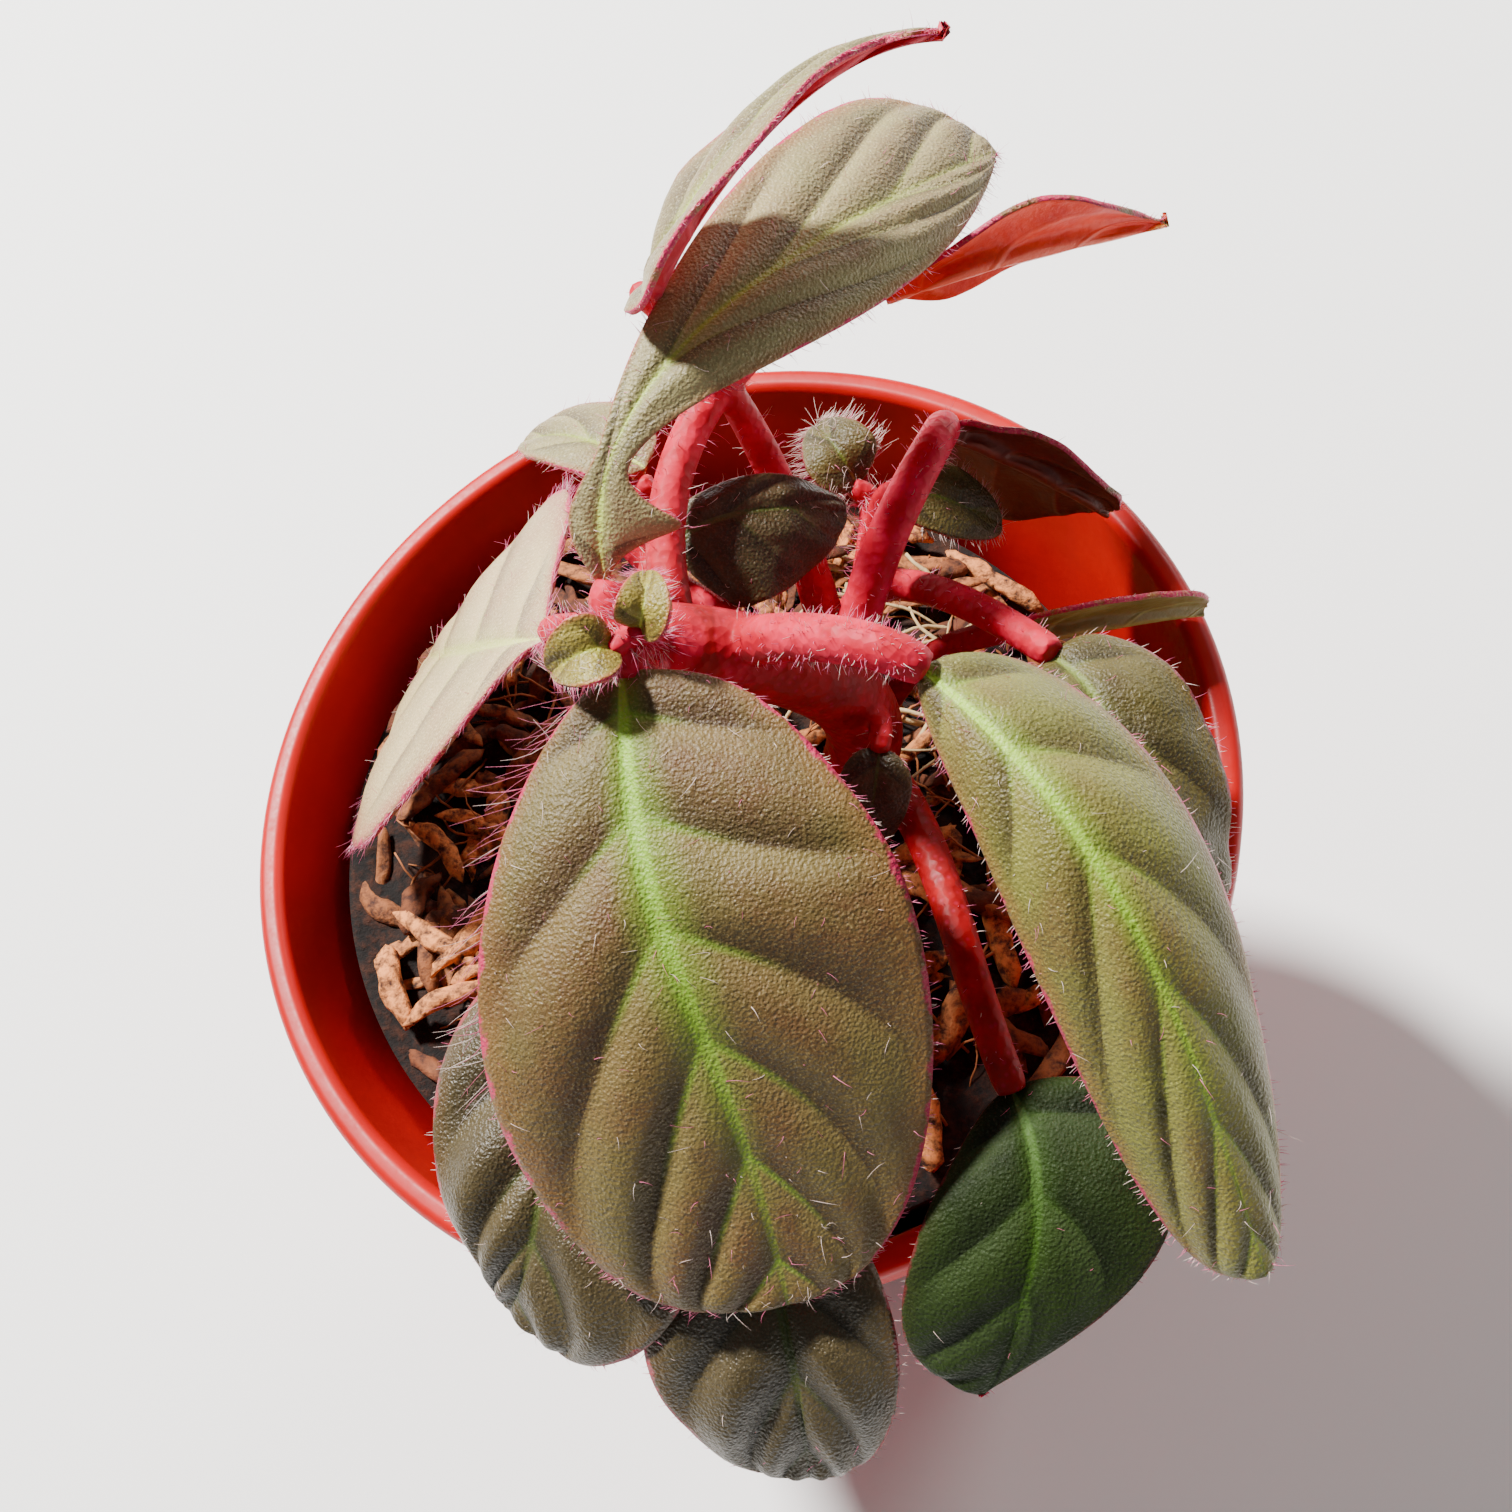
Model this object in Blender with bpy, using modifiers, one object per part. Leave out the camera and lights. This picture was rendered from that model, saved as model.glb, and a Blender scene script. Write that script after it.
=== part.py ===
"""Potted codonoboea: a small hairy house plant in a thin red plastic nursery pot.

Units are metres, +Z is up. The origin is the middle of the pot's flat base.
"""

import math
import random

import bmesh
import bpy
from mathutils import Vector, noise

# Driving dimensions
MM = 0.001
GAP = 0.3 * MM

# Pot: a 3 inch round nursery pot
POT_HEIGHT = 66 * MM
POT_RIM_RADIUS = 38 * MM
POT_BASE_RADIUS = 26 * MM
POT_WALL = 1.2 * MM
POT_LIP_WIDTH = 2.0 * MM
POT_LIP_HEIGHT = 3.5 * MM
POT_FLOOR = 1.6 * MM
POT_STEPS = 48
DRAIN_HOLES = 5
DRAIN_RADIUS = 2.4 * MM
DRAIN_CIRCLE = 17 * MM

# Potting mix: coir and bark, mounded a little towards the plant
MIX_EDGE_HEIGHT = 55 * MM
MIX_MOUND = 2 * MM
MIX_TILT = -0.14
MIX_PLAY = 0.8 * MM
MIX_STEPS = 32
MIX_RINGS = 5
MIX_ROUGHNESS = 2.2 * MM
CHIP_COUNT = 42
CHIP_SEED = 12

# Stem: one fleshy stem that leans out of the mix and bends up to the crown
STEM_RADIUS = 2.8 * MM
STEM_FOOT = Vector((7.5, 1.0, 30.0)) * MM
STEM_HOLE_FLOOR = 29.5 * MM
STALK_RINGS = 9

# Blades
BLADE_THICKNESS = 0.65 * MM
MIDRIB_THICKNESS = 1.3 * MM

RED_PLASTIC = ("red plastic", (0.72, 0.035, 0.05), 0.35)
MIX_BROWN = ("potting mix", (0.28, 0.12, 0.05), 0.95)
STEM_RED = ("red stem", (0.62, 0.03, 0.10), 0.5)
BLADE_BRONZE = ("bronze green blade", (0.20, 0.19, 0.10), 0.55)
BLADE_DARK = ("dark green blade", (0.07, 0.11, 0.06), 0.55)
BLADE_RED = ("red blade underside", (0.55, 0.09, 0.05), 0.55)
BLADE_YOUNG = ("young olive blade", (0.36, 0.36, 0.12), 0.55)

# Each blade: its midrib through four points in millimetres, the direction that its
# upper face looks in at the base and at the tip, its half widths to the left and the
# right, how its outline rounds off at the base and the tip, and the fold and the curl
# of each half in degrees, up being positive. Veins are the pairs of side veins, and quilt is how far
# the skin bulges between them.
LEAVES = {
    "leaf_front": dict(
        midrib=((0.2, -3.8, 92.0), (1.8, -17.5, 88.6), (4.5, -26.3, 82.6), (6.8, -38.5, 71.5)),
        face=((0.1, -0.35, 1.0), (0.25, -0.6, 0.75)),
        width=(14.6, 14.0), base=(0.34, 0.6), tip=(0.39, 0.29),
        fold=(-2, 0), curl=(-3, -18), sweep=0.23,
        veins=7, quilt=0.7, colour=BLADE_BRONZE),
    "leaf_right": dict(
        midrib=((18.3, -4.6, 90.5), (26.3, -14.7, 90.0), (31.4, -24.6, 84.0), (35.6, -37.2, 72.0)),
        face=((0.0, 0.0, 1.0), (0.35, -0.45, 0.8)),
        width=(9.1, 6.9), base=(0.24, 0.56), tip=(0.43, 0.32),
        fold=(-18, -20), curl=(-34, -27), sweep=0.2,
        veins=7, quilt=0.6, colour=BLADE_BRONZE),
    "leaf_right_back": dict(
        midrib=((25.5, 1.2, 79.5), (28.9, -4.3, 80.0), (30.5, -11.5, 77.0), (32.2, -17.8, 72.0)),
        face=((0.1, 0.1, 1.0), (0.5, -0.2, 0.8)),
        width=(7.2, 9.0), base=(0.37, 0.5), tip=(0.25, 0.31),
        fold=(0, 0), curl=(-17, -15), sweep=0.2,
        veins=5, quilt=0.5, colour=BLADE_DARK),
    "leaf_left": dict(
        midrib=((-6.2, 1.9, 87.0), (-12.6, 5.3, 80.8), (-19.8, 9.4, 73.0), (-26.0, 14.4, 64.0)),
        face=((-0.61, 0.24, 0.75), (-0.71, 0.32, 0.62)),
        width=(16.5, 15.5), base=(2.4, 1.9), tip=(0.9, 1.0),
        fold=(0, 0), curl=(-10, -10), sweep=0.05,
        veins=6, quilt=0.5, colour=BLADE_BRONZE),
    "leaf_top": dict(
        midrib=((-1.2, 2.8, 91.2), (2.6, 11.2, 98.5), (12.6, 21.5, 98.0), (24.5, 33.9, 91.0)),
        face=((0.02, -0.29, 0.9), (0.08, -0.3, 0.95)),
        width=(8.1, 5.6), base=(2.4, 2.1), tip=(0.43, 0.9),
        lobes=((0.1, 0.09, 1.9), (0.11, 0.06, 5.0)),
        fold=(0, 0), curl=(-9, -30), sweep=0.23,
        veins=7, quilt=0.6, colour=BLADE_BRONZE),
    "leaf_top_far": dict(
        midrib=((2.9, 18.2, 100.3), (7.1, 20.4, 104.6), (14.2, 25.7, 107.2), (22.6, 30.6, 105.0)),
        face=((-0.54, 0.285, 0.775), (-0.54, 0.285, 0.775)),
        width=(4.6, 4.2), base=(0.4, 0.4), tip=(0.8, 1.5),
        fold=(0, 0), curl=(0, 6), sweep=0.2,
        veins=6, quilt=0.5, colour=BLADE_BRONZE),
    "leaf_top_red": dict(
        midrib=((16.2, 25.7, 88.7), (23.2, 27.2, 88.6), (29.2, 29.0, 87.3), (35.3, 31.4, 85.0)),
        face=((-0.2, 0.95, 0.15), (-0.2, 0.95, 0.15)),
        width=(3.0, 4.8), base=(0.4, 1.7), tip=(2.0, 1.6),
        lobes=((0.86, 0.08, 0.5), (0.5, 0.1, 0.0)),
        fold=(0, 0), curl=(-5, -5), sweep=0.2,
        veins=5, quilt=0.3, colour=BLADE_RED),
    "leaf_middle": dict(
        midrib=((0.4, 9.6, 84.2), (4.7, 11.7, 84.2), (9.0, 13.0, 82.2), (12.1, 13.8, 78.8)),
        face=((0.1, -0.3, 0.9), (0.3, -0.3, 0.8)),
        width=(2.4, 6.5), base=(0.4, 0.3), tip=(0.5, 0.55),
        fold=(0, -5), curl=(-10, -15), sweep=0.2,
        veins=5, quilt=0.4, colour=BLADE_DARK),
    "leaf_back": dict(
        midrib=((19.6, 20.2, 79.8), (22.8, 19.9, 77.0), (26.8, 18.9, 73.5), (30.2, 18.3, 69.5)),
        face=((0.39, 0.91, 0.0), (0.39, 0.91, 0.0)),
        width=(9.0, 4.0), base=(0.5, 0.5), tip=(0.5, 0.5),
        fold=(0, 0), curl=(-10, -10), sweep=0.2,
        veins=5, quilt=0.4, colour=BLADE_RED),
    "leaf_low_right": dict(
        midrib=((21.1, -25.4, 72.0), (22.4, -31.8, 72.0), (21.2, -38.0, 69.2), (17.9, -43.3, 63.5)),
        face=((0.1, -0.2, 1.0), (0.1, -0.6, 0.7)),
        width=(8.8, 7.4), base=(0.6, 0.5), tip=(1.4, 0.24),
        fold=(0, 0), curl=(-10, -15), sweep=0.2,
        veins=5, quilt=0.5, colour=BLADE_DARK),
    "leaf_low_left": dict(
        midrib=((-4.7, -18.5, 73.0), (-8.0, -24.4, 74.2), (-9.8, -32.6, 72.8), (-13.2, -38.3, 67.6)),
        face=((0.1, -0.2, 1.0), (-0.2, -0.5, 0.8)),
        width=(12.8, 8.8), base=(0.26, 0.38), tip=(0.34, 0.57),
        fold=(0, 0), curl=(-7, -11), sweep=0.23,
        veins=6, quilt=0.9, colour=BLADE_DARK),
    "leaf_low_front": dict(
        midrib=((4.2, -29.5, 70.4), (5.5, -36.5, 69.6), (6.2, -42.5, 66.3), (5.8, -48.2, 59.5)),
        face=((0.1, -0.2, 1.0), (0.1, -0.8, 0.5)),
        width=(6.9, 9.5), base=(0.5, 0.5), tip=(0.4, 0.42),
        fold=(0, 0), curl=(-6, -8), sweep=0.23,
        veins=5, quilt=0.8, colour=BLADE_DARK),
    "leaf_edge_on": dict(
        midrib=((23.2, 8.0, 71.0), (27.5, 8.4, 71.0), (32.5, 9.5, 69.5), (36.3, 10.2, 68.0)),
        face=((0.0, 0.9, 0.2), (0.0, 0.9, 0.2)),
        width=(3.2, 4.2), base=(0.5, 0.5), tip=(0.5, 0.5),
        fold=(0, 0), curl=(0, 0), sweep=0.2,
        veins=4, quilt=0.2, colour=BLADE_YOUNG),
    "leaf_back_left": dict(
        midrib=((-0.3, 14.0, 87.6), (-2.8, 15.7, 87.9), (-6.2, 17.6, 87.3), (-10.3, 19.0, 85.3)),
        face=((0.0, 0.2, 1.0), (-0.2, 0.3, 0.9)),
        width=(3.2, 4.0), base=(0.5, 0.5), tip=(0.5, 0.5),
        fold=(10, 0), curl=(-10, -10), sweep=0.2,
        veins=4, quilt=0.3, colour=BLADE_BRONZE),
    "leaf_small": dict(
        midrib=((13.9, -3.4, 77.2), (13.6, -5.2, 76.9), (13.0, -7.1, 75.4), (12.0, -9.2, 73.0)),
        face=((0.2, -0.3, 0.9), (0.2, -0.5, 0.8)),
        width=(2.5, 2.5), base=(0.5, 0.5), tip=(0.5, 0.5),
        fold=(0, 0), curl=(-10, -10), sweep=0.2,
        veins=3, quilt=0.2, colour=BLADE_DARK),
    "crown_leaf_left": dict(
        midrib=((0.5, -3.1, 94.0), (-0.5, -3.8, 95.0), (-1.9, -4.1, 94.8), (-3.8, -4.4, 93.4)),
        face=((0.2, -0.3, 0.9), (0.2, -0.3, 0.9)),
        width=(2.2, 2.2), base=(0.45, 0.45), tip=(0.6, 0.6),
        fold=(12, 12), curl=(10, 10), sweep=0.2,
        veins=3, quilt=0.15, colour=BLADE_YOUNG),
    "crown_leaf_right": dict(
        midrib=((1.9, -2.4, 94.0), (2.5, -2.2, 95.4), (2.8, -1.0, 95.9), (2.6, 1.2, 95.2)),
        face=((0.2, -0.3, 0.9), (0.2, -0.3, 0.9)),
        width=(1.7, 1.7), base=(0.45, 0.45), tip=(0.6, 0.6),
        fold=(12, 12), curl=(10, 10), sweep=0.2,
        veins=3, quilt=0.15, colour=BLADE_YOUNG),
    "shoot_leaf_left": dict(
        midrib=((12.0, 20.2, 73.2), (11.4, 20.9, 75.0), (10.5, 22.4, 75.8), (8.9, 25.3, 74.6)),
        face=((-0.1, 0.1, 1.0), (-0.3, 0.4, 0.8)),
        width=(2.8, 2.8), base=(0.5, 0.5), tip=(0.5, 0.5),
        fold=(5, 5), curl=(-10, -10), sweep=0.2,
        veins=3, quilt=0.2, colour=BLADE_YOUNG),
    "shoot_leaf_right": dict(
        midrib=((14.8, 17.8, 76.0), (17.0, 17.0, 76.6), (19.7, 16.7, 74.6), (22.4, 17.2, 70.6)),
        face=((0.1, -0.1, 1.0), (0.4, -0.2, 0.8)),
        width=(2.8, 2.8), base=(0.5, 0.5), tip=(0.5, 0.5),
        fold=(5, 5), curl=(-10, -10), sweep=0.2,
        veins=3, quilt=0.2, colour=BLADE_YOUNG),
}

# Each stalk: four points of its middle line in millimetres, from inside the stem to
# just short of its blade, and its radius there and there.
STALKS = {
    "front": (((2.5, 0.0, 87.0), (1.6, -0.6, 89.6), (0.8, -1.8, 91.3), (0.3, -3.3, 91.9)), 1.6, 1.3),
    "right": (((3.0, 1.0, 84.5), (9.5, -0.9, 89.0), (14.6, -3.0, 91.4), (17.9, -4.4, 91.0)), 1.7, 1.3),
    "right_back": (((10.5, 1.5, 68.0), (11.6, 12.0, 70.5), (18.4, 8.8, 75.5), (25.2, 1.8, 79.5)), 1.3, 1.1),
    "left": (((2.0, 0.0, 87.0), (-1.0, 0.6, 88.6), (-3.6, 1.2, 88.6), (-5.8, 1.9, 87.6)), 1.3, 1.1),
    "top": (((2.0, -0.5, 86.5), (0.2, 0.0, 88.4), (-1.0, 1.0, 90.0), (-1.2, 2.2, 90.9)), 1.4, 1.2),
    "top_far": (((10.8, 2.0, 73.0), (8.0, 14.5, 79.0), (5.3, 19.0, 89.0), (2.9, 18.2, 99.5)), 1.5, 0.8),
    "top_red": (((2.5, 0.5, 86.0), (2.9, 15.6, 88.2), (10.2, 23.6, 89.0), (15.6, 25.6, 88.8)), 1.4, 1.0),
    "middle": (((3.0, 0.0, 85.0), (0.6, 3.6, 84.6), (-0.7, 6.9, 83.8), (-0.1, 9.3, 83.9)), 1.2, 0.9),
    "back": (((10.0, 2.0, 69.0), (13.0, 8.4, 77.0), (16.7, 13.7, 81.5), (19.1, 19.5, 80.2)), 1.6, 1.3),
    "low_right": (((11.0, 1.0, 70.0), (15.8, -7.5, 72.5), (18.5, -16.1, 74.0),
                   (21.0, -24.9, 72.2)), 1.4, 1.1),
    "low_left": (((8.0, 0.0, 60.0), (4.0, -8.0, 67.5), (-1.5, -14.0, 72.0), (-4.5, -18.0, 72.9)), 1.3, 1.1),
    "low_front": (((9.0, 0.0, 58.0), (8.5, -12.0, 67.0), (6.5, -21.0, 70.8), (4.3, -29.0, 70.5)), 1.3, 1.1),
    "edge_on": (((10.0, 2.0, 62.0), (14.0, 6.5, 67.0), (18.5, 7.6, 70.3), (22.8, 8.0, 71.0)), 1.1, 0.9),
    "back_left": (((8.8, 1.0, 80.0), (3.0, 6.5, 80.5), (-2.4, 10.6, 83.0), (-0.7, 12.9, 86.6)), 1.1, 0.8),
    "small": (((11.0, 1.0, 72.0), (13.0, 0.2, 74.8), (13.8, -1.4, 76.6), (13.9, -2.9, 77.2)), 1.0, 0.8),
    "crown_left": (((2.0, -0.5, 88.5), (1.8, -1.0, 91.0), (1.4, -1.9, 93.0), (0.8, -2.8, 93.8)), 0.9, 0.7),
    "crown_right": (((2.0, -0.5, 88.5), (2.2, -1.0, 90.6), (2.1, -1.7, 92.4), (1.8, -2.2, 93.5)), 0.9, 0.7),
    "shoot_left": (((9.5, 1.5, 62.0), (10.5, 10.0, 67.0), (12.3, 17.0, 70.5), (12.1, 19.9, 72.8)), 1.1, 0.9),
    "shoot_right": (((12.0, 15.0, 69.6), (12.8, 16.2, 72.0), (13.6, 17.2, 74.2),
                     (14.4, 17.6, 75.6)), 1.0, 0.8),
}
STEM_FOOT_LINE = ((7.5, 1.0, 30.0), (7.5, 1.0, 40.0), (7.5, 1.0, 50.0), (7.5, 1.0, 60.0))
STEM_BEND_LINE = ((7.5, 1.0, 58.5), (10.9, 1.2, 66.5), (11.2, 1.0, 77.5), (1.6, -0.6, 89.0))


def clear_scene():
    for scene_object in list(bpy.data.objects):
        bpy.data.objects.remove(scene_object, do_unlink=True)


def new_collection(name):
    collection = bpy.data.collections.new(name)
    bpy.context.scene.collection.children.link(collection)
    return collection


def material(look):
    name, colour, roughness = look
    found = bpy.data.materials.get(name)
    if found:
        return found
    made = bpy.data.materials.new(name)
    made.use_nodes = True
    made.diffuse_color = (*colour, 1.0)
    shader = made.node_tree.nodes["Principled BSDF"]
    shader.inputs["Base Color"].default_value = (*colour, 1.0)
    shader.inputs["Roughness"].default_value = roughness
    shader.inputs["Metallic"].default_value = 0.0
    return made


def add_object(name, data, collection, look=None):
    made = bpy.data.objects.new(name, data)
    if look:
        data.materials.append(material(look))
    collection.objects.link(made)
    return made


def hide_cutter(cutter):
    cutter.hide_render = True
    cutter.display_type = "WIRE"


def through(points, t):
    """The smooth curve through four points, at t from 0 to 1."""
    weights = (
        -4.5 * (t - 1 / 3) * (t - 2 / 3) * (t - 1),
        13.5 * t * (t - 2 / 3) * (t - 1),
        -13.5 * t * (t - 1 / 3) * (t - 1),
        4.5 * t * (t - 1 / 3) * (t - 2 / 3),
    )
    return sum((Vector(p) * w for p, w in zip(points, weights)), Vector())


def outline(t, base, tip):
    """Half width of a blade at t along it, 1 at its widest; small base and tip values are full."""
    widest = base / (base + tip)
    full = widest ** base * (1 - widest) ** tip
    inside = min(max(t, 0.0), 1.0)
    return inside ** base * (1 - inside) ** tip / full


def across(width, fold, curl):
    """Sideways and upward reach of a half blade that starts at the angle fold and turns by curl."""
    if abs(curl) < 1e-4:
        return width * math.cos(fold), width * math.sin(fold)
    sideways = (math.sin(fold + curl) - math.sin(fold)) / curl
    upward = (math.cos(fold) - math.cos(fold + curl)) / curl
    return width * sideways, width * upward


def blade_point(leaf, t, side):
    """A point of the upper skin: t runs from base to tip, side from -1, right, to 1, left."""
    reach = abs(side)
    along = t + 4 * leaf["sweep"] * reach * t * (1 - t)
    here = through(leaf["midrib"], along)
    step = 0.01
    forward = (through(leaf["midrib"], along + step) - through(leaf["midrib"], along - step)).normalized()
    face = Vector(leaf["face"][0]).lerp(Vector(leaf["face"][1]), along)
    face = (face - forward * face.dot(forward)).normalized()
    left = face.cross(forward)
    half = 0 if side > 0 else 1
    spread = outline(along, leaf["base"][half], leaf["tip"][half])
    width = leaf["width"][half] * spread * reach
    if "lobes" in leaf:
        middle, length, extra = leaf["lobes"][half]
        width += extra * reach * math.exp(-((along - middle) / length) ** 2)
    fold = math.radians(leaf["fold"][half])
    curl = math.radians(leaf["curl"][half]) * reach
    sideways, upward = across(width, fold, curl)
    turn = math.acos(1 - 2 * t) / math.pi
    bulge = 0.5 - 0.5 * math.cos(2 * math.pi * leaf["veins"] * turn)
    envelope = math.sin(math.pi * min(reach * 0.85 + 0.05, 1.0)) if reach > 0 else 0.0
    upward += leaf["quilt"] * bulge * envelope * spread
    return here + left * math.copysign(sideways, side) + face * upward


def add_leaf(name, leaf, collection):
    """A blade: a grid laid along the midrib, split into triangles and given its thickness."""
    rows = 2 * leaf["veins"]
    columns = 8 if leaf["veins"] > 4 else 4
    mesh = bpy.data.meshes.new(name)
    grid = bmesh.new()
    bmesh.ops.create_grid(grid, x_segments=rows, y_segments=columns, size=1.0)
    weights = grid.verts.layers.deform.verify()
    for vertex in grid.verts:
        t = 0.5 - 0.5 * math.cos(math.pi * (vertex.co.x + 1) / 2)
        side = vertex.co.y
        vertex[weights][0] = 1.0 - 0.5 * t if abs(side) < 0.01 else 0.0
        vertex.co = blade_point(leaf, t, side) * MM
    bmesh.ops.remove_doubles(grid, verts=grid.verts, dist=0.01 * MM)
    bmesh.ops.triangulate(grid, faces=grid.faces)
    grid.to_mesh(mesh)
    grid.free()
    made = add_object(name, mesh, collection, leaf["colour"])
    made.vertex_groups.new(name="midrib")
    skin = made.modifiers.new("thickness", "SOLIDIFY")
    skin.thickness = MIDRIB_THICKNESS
    skin.offset = -1.0
    skin.vertex_group = "midrib"
    skin.thickness_vertex_group = BLADE_THICKNESS / MIDRIB_THICKNESS
    return made


def tube(name, points, start_radius, end_radius, collection, look, rings=STALK_RINGS):
    """A tapered round stalk along a smooth curve, as a closed mesh."""
    curve = bpy.data.curves.new(name, "CURVE")
    curve.dimensions = "3D"
    curve.bevel_depth = 1.0
    curve.bevel_resolution = 2
    curve.use_fill_caps = True
    spline = curve.splines.new("POLY")
    spline.points.add(rings - 1)
    for index, point in enumerate(spline.points):
        t = index / (rings - 1)
        point.co = (*(through(points, t) * MM), 1.0)
        point.radius = start_radius + (end_radius - start_radius) * t
    drawn = add_object(name, curve, collection)
    bpy.context.view_layer.update()
    evaluated = drawn.evaluated_get(bpy.context.evaluated_depsgraph_get())
    mesh = bpy.data.meshes.new_from_object(evaluated)
    mesh.name = name
    bpy.data.objects.remove(drawn)
    welded = bmesh.new()
    welded.from_mesh(mesh)
    bmesh.ops.remove_doubles(welded, verts=welded.verts, dist=0.005 * MM)
    bmesh.ops.recalc_face_normals(welded, faces=welded.faces)
    welded.to_mesh(mesh)
    welded.free()
    mesh.materials.clear()
    return add_object(name, mesh, collection, look)


def join_collection(target, pieces, solver="EXACT"):
    """Join every object of a collection into the target, and remove them."""
    union = target.modifiers.new("join", "BOOLEAN")
    union.operation = "UNION"
    union.operand_type = "COLLECTION"
    union.collection = pieces
    union.solver = solver
    apply_modifiers(target)
    for piece in list(pieces.objects):
        bpy.data.objects.remove(piece, do_unlink=True)
    bpy.data.collections.remove(pieces)


def apply_modifiers(target):
    bpy.context.view_layer.update()
    evaluated = target.evaluated_get(bpy.context.evaluated_depsgraph_get())
    mesh = bpy.data.meshes.new_from_object(evaluated)
    target.modifiers.clear()
    old = target.data
    target.data = mesh
    bpy.data.meshes.remove(old)


def add_pot(collection, cutters):
    """The pot: a turned wall with a rolled lip, on a flat floor with drain holes."""
    slope = (POT_RIM_RADIUS - POT_LIP_WIDTH - POT_BASE_RADIUS) / POT_HEIGHT
    lip_foot = POT_HEIGHT - POT_LIP_HEIGHT
    inner_rim = POT_RIM_RADIUS - POT_LIP_WIDTH - 0.2 * MM

    def outer(height):
        return POT_BASE_RADIUS + slope * height

    profile = [
        (inner_rim, POT_HEIGHT - 0.5 * MM),
        (inner_rim + 0.5 * MM, POT_HEIGHT),
        (POT_RIM_RADIUS - 0.5 * MM, POT_HEIGHT),
        (POT_RIM_RADIUS, POT_HEIGHT - 0.6 * MM),
        (POT_RIM_RADIUS, lip_foot + 0.4 * MM),
        (POT_RIM_RADIUS - 0.3 * MM, lip_foot),
        (outer(lip_foot) + 0.1 * MM, lip_foot),
        (outer(1.5 * MM), 1.5 * MM),
        (POT_BASE_RADIUS - 1.0 * MM, 0.0),
        (0.0, 0.0),
    ]
    inside = [
        (0.0, POT_FLOOR),
        (outer(POT_FLOOR) - POT_WALL - 1.0 * MM, POT_FLOOR),
        (outer(POT_FLOOR + 1.0 * MM) - POT_WALL, POT_FLOOR + 1.0 * MM),
    ]
    mesh = bpy.data.meshes.new("pot")
    shape = bmesh.new()
    points = profile + inside
    corners = [shape.verts.new((radius, 0.0, height)) for radius, height in points]
    for first, second in zip(corners, corners[1:]):
        shape.edges.new((first, second))
    shape.edges.new((corners[-1], corners[0]))
    shape.to_mesh(mesh)
    shape.free()
    pot = add_object("pot", mesh, collection, RED_PLASTIC)
    turn = pot.modifiers.new("turn", "SCREW")
    turn.steps = POT_STEPS
    turn.render_steps = POT_STEPS
    turn.use_merge_vertices = True
    turn.merge_threshold = 0.05 * MM
    turn.use_smooth_shade = True
    drill = bpy.data.meshes.new("drain_holes")
    shape = bmesh.new()
    for index in range(DRAIN_HOLES):
        angle = 2 * math.pi * index / DRAIN_HOLES
        ring = bmesh.ops.create_cone(shape, cap_ends=True, segments=12, radius1=DRAIN_RADIUS,
                                     radius2=DRAIN_RADIUS, depth=6 * MM)
        bmesh.ops.translate(shape, verts=ring["verts"],
                            vec=(DRAIN_CIRCLE * math.cos(angle), DRAIN_CIRCLE * math.sin(angle), 0))
    shape.to_mesh(drill)
    shape.free()
    cutter = add_object("drain_holes", drill, cutters)
    hide_cutter(cutter)
    cut = pot.modifiers.new("drain", "BOOLEAN")
    cut.operation = "DIFFERENCE"
    cut.object = cutter
    return outer


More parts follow.
